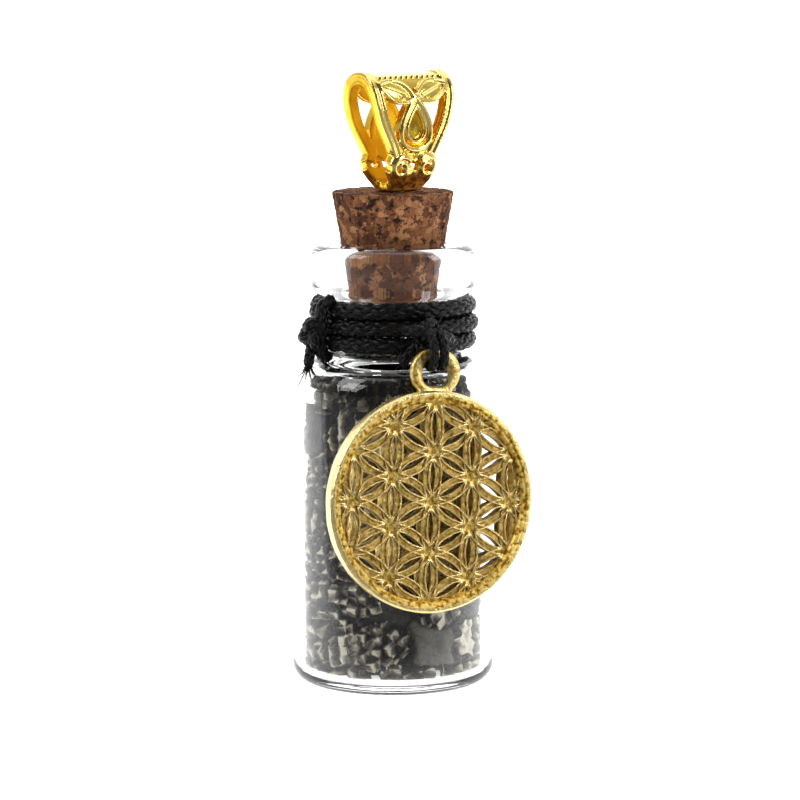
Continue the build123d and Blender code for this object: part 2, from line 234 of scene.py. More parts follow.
# %% Glass
clear_glass, tree, shader = new_material("clear glass")
film = use_group(tree, grain, {"Size": 180.0, "Contrast": 1.0})["Amount"]
slow_waves = use_group(tree, grain, {"Size": 60.0, "Contrast": 1.0})["Height"]
feed_all(tree, shader, {
    "Base Color": (0.975, 0.985, 0.985), "Transmission Weight": 1.0, "IOR": 1.5,
    "Roughness": spread(tree, film, 0.45, 0.8, 0.0, 0.05),
    "Normal": bump(tree, slow_waves, 0.06, 0.0006)})
to_lamp = tree.nodes.new("ShaderNodeLightPath").outputs["Is Shadow Ray"]
let_through = tree.nodes.new("ShaderNodeBsdfTransparent").outputs[0]
either = place_node(tree, "ShaderNodeMixShader", {0: to_lamp, 1: shader.outputs[0], 2: let_through})
tree.links.new(either.outputs[0], tree.nodes["Material Output"].inputs["Surface"])
print("glass nodes", len(tree.nodes))

# %% [markdown]
# The floor is white paper that glows a little, so that it stays white behind the glass. In front
# of the vial it would also be mirrored in the glass and lay a pale veil over the fill. A maker
# would put a dark card there, out of view; here the paper is dark in that place for mirrored
# rays only.

# %% Floor
floor_material, tree, shader = new_material("white studio floor")
card_near, card_far = -9 * mm, -20 * mm
floor_reach = 4.0
floor_drop = 0.02 * mm
speck = use_group(tree, grain, {"Size": 400.0, "Contrast": 0.06})["Amount"]
paper = colour_ramp(tree, speck, [(0.4, (0.90, 0.90, 0.90)), (0.6, (0.93, 0.93, 0.93))])
axes = place_node(tree, "ShaderNodeSeparateXYZ", {0: object_place(tree)})
in_front = spread(tree, axes.outputs["Y"], card_near, card_far)
mirrors_so_far = tree.nodes.new("ShaderNodeLightPath").outputs["Glossy Depth"]
mirrored = maths(tree, "MULTIPLY", mirrors_so_far, in_front, clamp=True)
feed_all(tree, shader, {
    "Base Color": mix_colour(tree, mirrored, paper, (0.27, 0.27, 0.27)), "Roughness": 0.7,
    "Emission Color": (1, 1, 1), "Emission Strength": spread(tree, mirrored, 0.0, 1.0, 0.8, 0.0)})
floor_mesh = bpy.data.meshes.new("floor")
corners = [(x * floor_reach, y * floor_reach, 0) for x, y in ((-1, -1), (1, -1), (1, 1), (-1, 1))]
floor_mesh.from_pydata(corners, [], [(0, 1, 2, 3)])
floor_mesh.materials.append(floor_material)
floor = bpy.data.objects.new("floor", floor_mesh)
floor.location.z = -floor_drop
scene.collection.objects.link(floor)
print("floor reaches", floor_reach, "m each way")


# %% [markdown]
# Turned pieces, such as the vial and the cork, are an outline spun round the axis. The outline is
# a list of corners with a radius each, so that a lip or a heel is written as a person would
# dimension it, and the arcs are worked out.

# %% Outline and lathe helpers
def rounded(corners, steps=7):
    """Outline from (distance from the axis, height, radius) corners; a radius rounds its corner."""
    outline = []
    count = len(corners)
    for index, (r, z, radius) in enumerate(corners):
        point = Vector((r, z))
        if radius == 0:
            outline.append(point)
            continue
        before = (Vector(corners[index - 1][:2]) - point).normalized()
        after = (Vector(corners[(index + 1) % count][:2]) - point).normalized()
        half = before.angle(after) / 2
        centre = point + (before + after).normalized() * radius / math.sin(half)
        reach_back = radius / math.tan(half)
        first = point + before * reach_back - centre
        last = point + after * reach_back - centre
        turn = first.angle_signed(last)
        for step in range(steps + 1):
            angle = -turn * step / steps
            rotated = Vector((
                first.x * math.cos(angle) - first.y * math.sin(angle),
                first.x * math.sin(angle) + first.y * math.cos(angle)))
            outline.append(centre + rotated)
    return outline


def finish_mesh(name, mesh, material, angle=None):
    """Object at the origin with outward normals and one material."""
    work = bmesh.new()
    work.from_mesh(mesh)
    bmesh.ops.remove_doubles(work, verts=work.verts, dist=1e-7)
    bmesh.ops.recalc_face_normals(work, faces=work.faces)
    work.to_mesh(mesh)
    work.free()
    mesh.materials.clear()
    mesh.materials.append(material)
    mesh.shade_smooth()
    if angle is not None:
        mesh.set_sharp_from_angle(angle=angle)
    piece = bpy.data.objects.new(name, mesh)
    scene.collection.objects.link(piece)
    return piece


def lathe(name, outline, segments, material):
    """Spin a closed outline round the axis; points on the axis become single poles."""
    vertices = []
    rings = []
    for point in outline:
        if point.x < 1e-7:
            rings.append([len(vertices)])
            vertices.append((0, 0, point.y))
            continue
        rings.append(list(range(len(vertices), len(vertices) + segments)))
        for step in range(segments):
            angle = 2 * math.pi * step / segments
            vertices.append((point.x * math.cos(angle), point.x * math.sin(angle), point.y))
    faces = []
    for lower, upper in zip(rings, rings[1:] + rings[:1]):
        if len(lower) == 1 and len(upper) == 1:
            continue
        for step in range(segments):
            following = (step + 1) % segments
            if len(lower) == 1:
                faces.append((lower[0], upper[following], upper[step]))
            elif len(upper) == 1:
                faces.append((lower[step], lower[following], upper[0]))
            else:
                faces.append((lower[step], lower[following], upper[following], upper[step]))
    mesh = bpy.data.meshes.new(name)
    mesh.from_pydata(vertices, [], faces)
    return finish_mesh(name, mesh, material)


def hand_over(piece, body, slot_name, *nodes):
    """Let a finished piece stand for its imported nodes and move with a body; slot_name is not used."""
    if nodes:
        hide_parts(*nodes)
    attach(piece, body)


# %% [markdown]
# The vial is one piece of drawn glass: a flat base with a soft heel, a straight body, a round
# shoulder, a short neck and a thick rolled lip. Its outline runs up the outside and back down the
# inside, so the wall has its real thickness and the light bends in it as it should.

# %% Vial
vial_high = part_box("glass_vial")[1]
vial_radius = vial_high.x
vial_height = vial_high.z
glass_wall = 1.0 * mm
shoulder = vial_height - 10 * mm
lip_bottom = vial_height - 4.5 * mm
neck_radius = 5.8 * mm
lip_radius = 7.2 * mm
bore_radius = 4.58 * mm
inner_radius = vial_radius - glass_wall

vial_outline = rounded([
    (0, 0.12 * mm, 0),
    (vial_radius * 0.62, 0.12 * mm, 0.8 * mm),
    (vial_radius * 0.72, 0, 0.4 * mm),
    (vial_radius, 0, 1.6 * mm),
    (vial_radius, shoulder, 2.8 * mm),
    (neck_radius, shoulder + 0.4 * mm, 0.4 * mm),
    (neck_radius, lip_bottom, 0.3 * mm),
    (lip_radius, lip_bottom, 0.9 * mm),
    (lip_radius, vial_height, 0.9 * mm),
    (bore_radius, vial_height, 0.5 * mm),
    (bore_radius, shoulder - 0.6 * mm, 0.4 * mm),
    (inner_radius, shoulder - glass_wall, 1.8 * mm),
    (inner_radius, 1.0 * mm, 1.0 * mm),
    (0, 1.0 * mm, 0),
])
vial = lathe("glass_vial_clear", vial_outline, 192, clear_glass)
hand_over(vial, "vial", "clear_glass", "glass_vial")
print("vial outline points", len(vial_outline))

# %% [markdown]
# The stopper is agglomerated cork: crushed granules pressed together and cut to a taper, so it
# shows grains of several browns, dark pits between them and torn edges. The taper is a lathe
# with many rows, and each point is then pushed in where a pit or the gap between two granules is.

# %% Cork finish
cork_brown, tree, shader = new_material("agglomerated cork")
granule_scale = 1250.0
here = object_place(tree)
crooked = place_node(tree, "ShaderNodeTexNoise", {
    "Vector": here, "Scale": 1700.0, "Detail": 6.0, "Roughness": 0.7})
warped = place_node(tree, "ShaderNodeVectorMath", {
    0: crooked.outputs["Color"], 1: (0.0013, 0.0013, 0.0013), 2: here}, operation="MULTIPLY_ADD").outputs[0]
granule = place_node(tree, "ShaderNodeTexVoronoi", {"Vector": warped, "Scale": granule_scale})
edges = place_node(tree, "ShaderNodeTexVoronoi", {
    "Vector": warped, "Scale": granule_scale}, feature="DISTANCE_TO_EDGE").outputs["Distance"]
tint = place_node(tree, "ShaderNodeSeparateColor", {"Color": granule.outputs["Color"]})
browns = colour_ramp(tree, tint.outputs[0], [
    (0.0, (0.075, 0.022, 0.007)), (0.25, (0.18, 0.060, 0.020)), (0.6, (0.30, 0.115, 0.042)),
    (1.0, (0.50, 0.23, 0.095))])
cells = use_group(tree, grain, {"Size": 5200.0, "Contrast": 1.7})
cell_shade = colour_ramp(tree, cells["Amount"], [(0.3, (0.35, 0.35, 0.35)), (0.7, (1.0, 1.0, 1.0))])
mottled = mix_colour(tree, 0.45, browns, cell_shade, "MULTIPLY")
pits = place_node(tree, "ShaderNodeTexNoise", {
    "Vector": here, "Scale": 1300.0, "Detail": 5.0, "Roughness": 0.65})
dark = maths(tree, "MAXIMUM", spread(tree, edges, 0.0, 0.05, 0.85, 0.0),
             spread(tree, pits.outputs["Fac"], 0.47, 0.39), clamp=True)
torn_height = maths(tree, "MULTIPLY_ADD", cells["Height"], 0.35, edges)
feed_all(tree, shader, {
    "Base Color": mix_colour(tree, dark, mottled, (0.018, 0.006, 0.003)),
    "Roughness": 0.82, "Specular IOR Level": 0.3, "Normal": bump(tree, torn_height, 0.85, 0.00022)})
print("cork nodes", len(tree.nodes))

# %% [markdown]
# The stopper itself is a tapered lathe with many rows, fine enough to be pushed in point by point.
# Cells of a 3-D pattern stand for the granules: a point near the border of two cells goes in, and
# noise crumbles the rest. The part inside the neck is pressed by the glass, so it is smoother.

# %% Cork
cork_low, cork_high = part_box("cork_stopper")
cork_wide = cork_high.x
cork_taper = 0.178
cork_narrow = cork_wide - cork_taper * (cork_high.z - cork_low.z)
cork_rows = 86
cork_edge = 0.25 * mm
half_edge = 0.07 * mm
granule_size = 1.05 * mm
crumb_size = 0.55 * mm
neck_grip = 39.4 * mm
cork_outline = [(0, cork_low.z)]
cork_outline += [(cork_narrow * share / 10, cork_low.z) for share in range(2, 10, 2)]
cork_outline += [(cork_narrow - cork_edge, cork_low.z), (cork_narrow - half_edge, cork_low.z + half_edge)]
for row in range(cork_rows + 1):
    height = cork_low.z + cork_edge + row / cork_rows * (cork_high.z - cork_low.z - 2 * cork_edge)
    cork_outline.append((cork_narrow + cork_taper * (height - cork_low.z), height))
cork_outline += [(cork_wide - 0.08 * mm, cork_high.z - half_edge), (cork_wide - cork_edge, cork_high.z)]
cork_outline += [(cork_wide * share / 32, cork_high.z) for share in range(30, -1, -1)]
cork = lathe("cork_stopper_granules", [Vector(point) for point in cork_outline], 220, cork_brown)
for vertex in cork.data.vertices:
    place = vertex.co
    edge = noise.voronoi(place / granule_size)[0]
    gap = min(1.0, (edge[1] - edge[0]) / 0.16)
    crumble = noise.fractal(place / crumb_size, 0.7, 2.1, 4)
    inside_neck = max(0.0, min(1.0, (neck_grip - place.z) / (0.6 * mm)))
    depth = (0.13 * (1 - gap) + 0.10 * max(0.0, crumble - 0.25) + 0.03 * abs(crumble)) * mm
    depth *= 1 - 0.45 * inside_neck
    if place.z > cork_high.z - 0.05 * mm:
        vertex.co.z -= min(depth, 0.12 * mm)
    elif place.xy.length > cork_narrow * 0.98:
        vertex.co = place - Vector((place.x, place.y, 0)).normalized() * depth
hand_over(cork, "cork", "cork", "cork_stopper")
print("cork faces", len(cork.data.polygons))

# %% [markdown]
# The black cord is a waxed braid: an even number of strands, half winding one way round a core and
# half the other, each passing over one strand and under the next. A bump pattern would not give
# its knobbly outline, so a Geometry Nodes tree winds real strands round any path it is given.

# %% Black wax for the cord
cord_wax, tree, shader = new_material("black waxed braid")
lint = use_group(tree, grain, {"Size": 2600.0, "Contrast": 1.3})
haze = use_group(tree, grain, {"Size": 420.0, "Contrast": 1.6})["Amount"]
fluffed = colour_ramp(tree, lint["Amount"], [
    (0.25, (0.001, 0.001, 0.001)), (0.6, (0.004, 0.004, 0.0045)), (0.9, (0.02, 0.02, 0.021))])
feed_all(tree, shader, {
    "Base Color": mix_colour(tree, haze, fluffed, (0.004, 0.004, 0.005)),
    "Roughness": spread(tree, haze, 0.2, 0.8, 0.2, 0.34),
    "Specular IOR Level": 0.2, "Normal": bump(tree, lint["Height"], 0.7, 0.00008)})
print("wax nodes", len(tree.nodes))

# %% [markdown]
# A Geometry Nodes tree is built here like any other node tree. These helpers make one with named
# inputs, run it on an object with values for those inputs, and bring the result back as a plain
# mesh, because the finished piece must not depend on the tree any more.

# %% Geometry node helpers
def new_geometry_tree(name, inputs):
    """Geometry tree with a geometry input and output; returns it with its input identifiers."""
    tree = bpy.data.node_groups.new(name, "GeometryNodeTree")
    tree.interface.new_socket("Geometry", in_out="INPUT", socket_type="NodeSocketGeometry")
    tree.interface.new_socket("Geometry", in_out="OUTPUT", socket_type="NodeSocketGeometry")
    for label, kind, value in inputs:
        socket = tree.interface.new_socket(label, in_out="INPUT", socket_type=kind)
        if value is not None:
            socket.default_value = value
    return tree, tree.nodes.new("NodeGroupInput"), tree.nodes.new("NodeGroupOutput")


def vectors(tree, operation, first, second=None, scale=None):
    node = place_node(tree, "ShaderNodeVectorMath", {0: first}, operation=operation)
    if second is not None:
        tree.links.new(second, node.inputs[1])
    if scale is not None:
        tree.links.new(scale, node.inputs["Scale"])
    return node.outputs[0]


def run_tree(source, tree, values, name):
    """Run a geometry tree on an object and return the result as a plain mesh."""
    modifier = source.modifiers.new("tree", "NODES")
    modifier.node_group = tree
    for item in tree.interface.items_tree:
        if item.in_out == "INPUT" and item.name in values:
            modifier[item.identifier] = values[item.name]
    evaluated = source.evaluated_get(bpy.context.evaluated_depsgraph_get())
    mesh = bpy.data.meshes.new_from_object(evaluated)
    mesh.name = name
    source.modifiers.remove(modifier)
    data = source.data
    bpy.data.objects.remove(source)
    if data.users == 0:
        (bpy.data.curves if isinstance(data, bpy.types.Curve) else bpy.data.meshes).remove(data)
    return mesh


def path_object(name, points, cyclic=False):
    """Poly curve through the points, ready for a geometry tree."""
    data = bpy.data.curves.new(name, "CURVE")
    data.dimensions = "3D"
    spline = data.splines.new("POLY")
    spline.points.add(len(points) - 1)
    for point, place in zip(spline.points, points):
        point.co = (*place, 1)
    spline.use_cyclic_u = cyclic
    path = bpy.data.objects.new(name, data)
    scene.collection.objects.link(path)
    return path


# %% [markdown]
# The braid tree copies the path once for each strand. Even copies wind one way and odd copies the
# other, each starting at its own angle, and a cosine of the length lifts a strand where it passes
# over and lowers it where it passes under. A plain core fills the middle, so no light gets through.

# %% Braid tree
braid, given, result = new_geometry_tree("braided cord", [
    ("Cord Radius", "NodeSocketFloat", 0.8 * mm),
    ("Strand Radius", "NodeSocketFloat", 0.27 * mm),
    ("Lay", "NodeSocketFloat", 5.0 * mm),
    ("Strands", "NodeSocketInt", 8),
    ("Step", "NodeSocketFloat", 0.2 * mm),
    ("Material", "NodeSocketMaterial", None),
])
even = place_node(braid, "GeometryNodeResampleCurve", {
    "Curve": given.outputs["Geometry"], "Length": given.outputs["Step"]}, mode="LENGTH")
copies = place_node(braid, "GeometryNodeDuplicateElements", {
    "Geometry": even.outputs[0], "Amount": given.outputs["Strands"]}, domain="SPLINE")
number = copies.outputs["Duplicate Index"]
way = maths(braid, "MULTIPLY_ADD", maths(braid, "MODULO", number, 2.0), 2.0, -1.0)
each_way = maths(braid, "DIVIDE", given.outputs["Strands"], 2.0)
start_angle = maths(braid, "DIVIDE", maths(
    braid, "MULTIPLY", maths(braid, "FLOOR", maths(braid, "DIVIDE", number, 2.0)), 2 * math.pi), each_way)
along = braid.nodes.new("GeometryNodeSplineParameter").outputs["Length"]
wound = maths(braid, "DIVIDE", maths(braid, "MULTIPLY", along, 2 * math.pi), given.outputs["Lay"])
angle = maths(braid, "MULTIPLY_ADD", wound, way, start_angle)
weave = maths(braid, "MULTIPLY", maths(braid, "COSINE", maths(braid, "MULTIPLY", wound, each_way)), way)
middle_radius = maths(braid, "SUBTRACT", given.outputs["Cord Radius"], maths(
    braid, "MULTIPLY", given.outputs["Strand Radius"], 1.3))
radius = maths(braid, "MULTIPLY_ADD", weave, maths(
    braid, "MULTIPLY", given.outputs["Strand Radius"], 0.32), middle_radius)
normal = braid.nodes.new("GeometryNodeInputNormal").outputs[0]
tangent = braid.nodes.new("GeometryNodeInputTangent").outputs[0]
binormal = vectors(braid, "CROSS_PRODUCT", tangent, normal)
across_part = maths(braid, "MULTIPLY", radius, maths(braid, "COSINE", angle))
upward_part = maths(braid, "MULTIPLY", radius, maths(braid, "SINE", angle))
sideways = vectors(braid, "SCALE", normal, scale=across_part)
upwards = vectors(braid, "SCALE", binormal, scale=upward_part)
moved = place_node(braid, "GeometryNodeSetPosition", {
    "Geometry": copies.outputs[0], "Offset": vectors(braid, "ADD", sideways, upwards)})
strand_section = place_node(braid, "GeometryNodeCurvePrimitiveCircle", {
    "Resolution": 7, "Radius": given.outputs["Strand Radius"]})
strands = place_node(braid, "GeometryNodeCurveToMesh", {
    "Curve": moved.outputs[0], "Profile Curve": strand_section.outputs[0], "Fill Caps": True})
core_section = place_node(braid, "GeometryNodeCurvePrimitiveCircle", {
    "Resolution": 10, "Radius": middle_radius})
core = place_node(braid, "GeometryNodeCurveToMesh", {
    "Curve": even.outputs[0], "Profile Curve": core_section.outputs[0], "Fill Caps": True})
joined = braid.nodes.new("GeometryNodeJoinGeometry")
braid.links.new(core.outputs[0], joined.inputs[0])
braid.links.new(strands.outputs[0], joined.inputs[0])
smooth = place_node(braid, "GeometryNodeSetShadeSmooth", {"Geometry": joined.outputs[0]})
real = place_node(braid, "GeometryNodeRealizeInstances", {"Geometry": smooth.outputs[0]})
finished = place_node(braid, "GeometryNodeSetMaterial", {
    "Geometry": real.outputs[0], "Material": given.outputs["Material"]})
braid.links.new(finished.outputs[0], result.inputs[0])
print("braid tree nodes", len(braid.nodes))


# %% [markdown]
# The neck cord is wound three times. A plain helix would leave a gap under the lip, so each turn
# runs level and drops by one cord near the knot, as a wound and tied cord does. The turns wander
# a little, and the middle one stands out at the right, where it was pulled over the others.

# %% Neck cord
def front(azimuth, distance, height):
    """Point at an angle from the front, positive towards +X."""
    turn = math.radians(azimuth)
    return Vector((math.sin(turn) * distance, -math.cos(turn) * distance, height))


def braided(name, paths, cord_radius, strand_radius, lay, strands=8, step=0.2 * mm):
    """List of braided meshes, one for each path."""
    meshes = []
    for index, path in enumerate(paths):
        source = path_object(name + " path " + str(index), path)
        meshes.append(run_tree(source, braid, {
            "Cord Radius": cord_radius, "Strand Radius": strand_radius, "Lay": lay,
            "Strands": strands, "Step": step, "Material": cord_wax}, name))
    return meshes


def join_meshes(name, meshes):
    """One mesh from several, which are used up."""
    work = bmesh.new()
    for mesh in meshes:
        work.from_mesh(mesh)
        bpy.data.meshes.remove(mesh)
    joined_mesh = bpy.data.meshes.new(name)
    work.to_mesh(joined_mesh)
    work.free()
    return joined_mesh


def smooth_path(points, count):
    """Evenly blended path through a few given points (Catmull-Rom)."""
    points = [Vector(point) for point in points]
    padded = [2 * points[0] - points[1], *points, 2 * points[-1] - points[-2]]
    path = []
    for index in range(len(points) - 1):
        p0, p1, p2, p3 = padded[index:index + 4]
        for step in range(count):
            t = step / count
            path.append(0.5 * (2 * p1 + (p2 - p0) * t + (2 * p0 - 5 * p1 + 4 * p2 - p3) * t * t
                               + (3 * p1 - p0 - 3 * p2 + p3) * t * t * t))
    path.append(points[-1])
    return path


def cord_piece(name, meshes, node_name, body):
    """One finished piece of cord from its braids and fibres."""
    piece = finish_mesh(name, join_meshes(name, meshes), cord_wax)
    hand_over(piece, body, "waxed_cord", node_name)
    print(name, "faces", len(piece.data.polygons))


cord_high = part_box("neck_cord")[1]
cord_radius = 0.8 * mm
turn_radius = cord_high.x - cord_radius
turn_pitch = 1.5 * mm
top_turn = cord_high.z - cord_radius
turn_count = 3
tie_azimuth = -62.0
drop_start, drop_width = 318, 40
pulled_azimuth, pulled_width = 78, 26
turn_path = []
for degree in range(0, turn_count * 360 + 1, 3):
    turn, part = divmod(degree, 360)
    step_down = max(0.0, min(1.0, (part - drop_start) / drop_width))
    step_down = step_down * step_down * (3 - 2 * step_down)
    height = top_turn - turn_pitch * (turn + step_down if turn < turn_count - 1 else turn_count - 1)
    azimuth = tie_azimuth + degree
    wander = 0.10 * mm * math.sin(math.radians(2 * azimuth + 70 * turn))
    pulled = math.exp(-((azimuth % 360 - pulled_azimuth) / pulled_width) ** 2)
    stand_out = 0.22 * mm * pulled * (turn == 1)
    turn_path.append(front(azimuth, turn_radius + stand_out, height + 0.5 * wander))
neck_meshes = braided("neck_cord_braid", [turn_path], cord_radius, 0.27 * mm, 9.0 * mm, 12, 0.26 * mm)
bridge = smooth_path([
    front(-50, 6.9 * mm, 34.55 * mm), front(-50, 7.9 * mm, 34.0 * mm), front(-50, 8.15 * mm, 32.6 * mm),
    front(-51, 8.15 * mm, 31.2 * mm), front(-52, 7.9 * mm, 29.9 * mm), front(-54, 7.0 * mm, 29.35 * mm)], 10)
neck_meshes += braided("neck_cord_braid", [bridge], 0.62 * mm, 0.23 * mm, 6.0 * mm, 10)
cord_piece("neck_cord_braid", neck_meshes, "neck_cord", "vial")

# %% [markdown]
# The wound cord is tied at the left. An overhand knot seen from the front is a trefoil, which is
# a formula, so the knot's path is that curve laid against the turns. Its short cut end hangs
# below it, and comes apart into loose fibres, as a cut braid does.

# %% Side knot and its tail
def knot_path(centre, outward, size, flatness, turn, steps=96):
    """Closed overhand knot lying against the wound cord, facing outward."""
    outward = outward.normalized()
    across = Vector((0, 0, 1)).cross(outward).normalized()
    upright = outward.cross(across)
    path = []
    for step in range(steps + 1):
        t = 2 * math.pi * step / steps
        x = (math.sin(t) + 2 * math.sin(2 * t)) / 3
        y = (math.cos(t) - 2 * math.cos(2 * t)) / 3
        x, y = x * math.cos(turn) - y * math.sin(turn), x * math.sin(turn) + y * math.cos(turn)
        z = -math.sin(3 * t) * flatness
        path.append(centre + (across * x + upright * y + outward * z) * size)
    return path


def frayed_end(place, along_way, length, spread, count, seed):
    """Loose fibres at a cut end, as thin tapering tubes in one mesh."""
    draw = random.Random(seed)
    data = bpy.data.curves.new("fibres", "CURVE")
    data.dimensions = "3D"
    data.bevel_depth = 0.07 * mm
    data.bevel_resolution = 1
    for _ in range(count):
        aim = Vector([draw.gauss(0, 1) for _ in range(3)])
        spline = data.splines.new("POLY")
        spline.points.add(5)
        for index, point in enumerate(spline.points):
            share = index / 5
            bend = aim * spread * share * share
            point.co = (*(place + aim * spread * 0.35 + along_way * length * share + bend), 1)
            point.radius = 1.0 - 0.7 * share
    fibres = bpy.data.objects.new("fibres", data)
    scene.collection.objects.link(fibres)
    mesh = bpy.data.meshes.new_from_object(fibres.evaluated_get(bpy.context.evaluated_depsgraph_get()))
    bpy.data.objects.remove(fibres)
    bpy.data.curves.remove(data)
    return mesh


knot_low, knot_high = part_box("neck_cord_knot")
knot_middle = (knot_low + knot_high) / 2
knot_outward = Vector((knot_middle.x, knot_middle.y, 0)).normalized()
knot_ring = knot_path(knot_middle + knot_outward * 0.25 * mm, knot_outward, 1.12 * mm, 0.42, 0.5)
knot_meshes = braided("neck_cord_knot_braid", [knot_ring], 0.58 * mm, 0.22 * mm, 4.0 * mm, 8, 0.14 * mm)
cord_piece("neck_cord_knot_braid", knot_meshes, "neck_cord_knot", "vial")

tail_low, tail_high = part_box("neck_cord_tail")
tail_middle = (tail_low + tail_high) / 2
tail_path = smooth_path([
    tail_middle + Vector((0.25, 0.15, 2.0)) * mm, tail_middle + Vector((0.15, 0.1, 0.8)) * mm,
    tail_middle + Vector((0, 0, -0.1)) * mm, tail_middle + Vector((-0.05, -0.05, -0.6)) * mm], 8)
tail_meshes = braided("neck_cord_tail_braid", [tail_path], 0.52 * mm, 0.2 * mm, 3.6 * mm, 8, 0.14 * mm)
tail_meshes.append(frayed_end(tail_path[-1], Vector((-0.05, -0.05, -1)), 1.0 * mm, 0.32 * mm, 34, 5))
cord_piece("neck_cord_tail_braid", tail_meshes, "neck_cord_tail", "vial")

# %% [markdown]
# The charm hangs in its own piece of cord. A small knot holds it to the front of the turns, and a
# doubled strand drops from that knot through the charm's ring. The strand swings with the charm,
# so it is a separate piece from the knot.

# %% Charm knot and loop
barrel_low, barrel_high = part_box("charm_cord_knot")
barrel_middle = (barrel_low + barrel_high) / 2
barrel_outward = Vector((barrel_middle.x, barrel_middle.y, 0)).normalized()
barrel_across = Vector((0, 0, 1)).cross(barrel_outward)
upright = Vector((0, 0, 1))


def near_barrel(across, outward, up):
    return barrel_middle + (barrel_across * across + barrel_outward * outward + upright * up) * mm


knot_wraps = [
    knot_path(near_barrel(0.15, 0.1, 0.0), barrel_outward, 1.3 * mm, 0.36, 1.2),
    smooth_path([
        near_barrel(-2.1, -0.5, 0.7), near_barrel(-1.3, 0.35, 0.75), near_barrel(0, 0.75, 0.5),
        near_barrel(1.3, 0.5, 0.1), near_barrel(2.1, -0.35, -0.3)], 8),
    smooth_path([
        near_barrel(-0.9, -0.3, -0.4), near_barrel(-1.5, -0.5, -1.2), near_barrel(-2.0, -0.7, -1.8),
        near_barrel(-2.2, -0.8, -2.2)], 8),
]
barrel_meshes = braided("charm_knot_braid", knot_wraps, 0.55 * mm, 0.21 * mm, 3.8 * mm, 8, 0.14 * mm)
for place, along_way, length, wide, count, seed in (
        (near_barrel(-2.2, -0.8, -2.1), Vector((-0.2, 0, -1)), 0.5 * mm, 0.2 * mm, 20, 8),
        (near_barrel(0.2, 0.3, 0.5), Vector((0, -0.3, 1)), 0.8 * mm, 0.55 * mm, 16, 9)):
    barrel_meshes.append(frayed_end(place, along_way, length, wide, count, seed))
cord_piece("charm_knot_braid", barrel_meshes, "charm_cord_knot", "vial")

loop_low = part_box("charm_cord_loop")[0]
loop_bottom = loop_low.z + 0.52 * mm
loop_rises = []
for side, front_out in ((-0.46, 10.75), (0.46, 10.85)):
    plane = barrel_across * side * mm
    stations = [
        (8.9, 32.1), (9.9, 32.15), (10.6, 31.4), (front_out, 30.4), (front_out - 0.1, 29.6),
        (10.25, loop_bottom / mm + 0.02), (9.6, loop_bottom / mm), (8.95, loop_bottom / mm + 0.25),
        (8.6, 30.1), (8.45, 30.9)]
    loop_rises.append(smooth_path(
        [barrel_outward * out * mm + upright * up * mm + plane for out, up in stations], 7))
loop_meshes = braided("charm_loop_braid", loop_rises, 0.45 * mm, 0.175 * mm, 3.4 * mm, 8, 0.13 * mm)
cord_piece("charm_loop_braid", loop_meshes, "charm_cord_loop", "charm_loop")

# %% [markdown]
# The charm is one casting in antiqued gold: a raised rim, an open lattice of equal circles whose
# centres lie on a triangular net, and a ring on top. It was plated, darkened and rubbed back, so
# raised edges are bright and the sunken faces stay olive. Each point of a gold piece keeps how far
# it stands up in an attribute called relief, and the finish reads that to choose its colour.

# %% Antique gold
antique_gold, tree, shader = new_material("antique gold")
worn = use_group(tree, wear_and_painted_light, {"Relief": kept_value(tree, "relief"), "Break Up": 0.55, "Size": 1400.0})
pitting = use_group(tree, grain, {"Size": 2500.0, "Contrast": 2.4})
old_gold = colour_ramp(tree, pitting["Amount"], [
    (0.3, (0.32, 0.16, 0.012)), (0.5, (0.92, 0.62, 0.12)), (0.7, (1.0, 0.76, 0.26))])
patina = mix_colour(tree, pitting["Amount"], (0.18, 0.09, 0.008), (0.96, 0.68, 0.20))
dulled = mix_colour(tree, worn["Sunken"], old_gold, patina)
feed_all(tree, shader, {
    "Base Color": mix_colour(tree, worn["Raised"], dulled, (1.0, 0.80, 0.36)), "Metallic": 1.0,
    "Roughness": spread(tree, worn["Raised"], 0.0, 1.0, 0.42, 0.2),
    "Normal": bump(tree, pitting["Height"], 0.8, 0.00012)})
print("antique gold nodes", len(tree.nodes))

# %% [markdown]
# The charm is drawn flat, round its own middle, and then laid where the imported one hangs. Its
# facing direction is the axis that it rocks about; it also leans a little to one side. The disc's
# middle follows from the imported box, because a tilted disc reaches a known distance each way.

# %% Where the charm hangs
joints = {joint["name"]: joint for joint in frame["joints"]}
charm_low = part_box("charm_disc")[0]
charm_radius = 9.6 * mm
charm_half = 0.8 * mm
charm_lean = math.radians(4.4)
charm_normal = Vector(joints["charm_rock"]["axis"]).normalized()
if charm_normal.y > 0:
    charm_normal.negate()
level = Vector((0, 0, 1)).cross(charm_normal).normalized()
charm_side = Matrix.Rotation(-charm_lean, 3, charm_normal) @ level
charm_up = charm_normal.cross(charm_side)


def disc_reach(axis):
    """How far the disc reaches from its middle along a world axis."""
    return charm_radius * math.sqrt(1 - charm_normal[axis] ** 2) + charm_half * abs(charm_normal[axis])


charm_middle = Vector(charm_low) + Vector([disc_reach(axis) for axis in range(3)])
charm_place = Matrix((
    (charm_side.x, charm_up.x, charm_normal.x, charm_middle.x),
    (charm_side.y, charm_up.y, charm_normal.y, charm_middle.y),
    (charm_side.z, charm_up.z, charm_normal.z, charm_middle.z),
    (0, 0, 0, 1)))
print("charm middle in mm", [round(c / mm, 3) for c in charm_middle])


def keep_values(mesh, name, values):
    """Store one number for each point, such as how far it stands up: 0 sunken, 1 raised."""
    mesh.attributes.new(name, "FLOAT", "POINT").data.foreach_set("value", values)


# %% [markdown]
# The lattice follows a rule, so a Geometry Nodes tree lays one circle on every point of the net,
# cuts away what falls outside the rim, and sweeps the bar's section along what is left. The
# section has a fine ridge on both edges, which is what catches the light on the real casting.

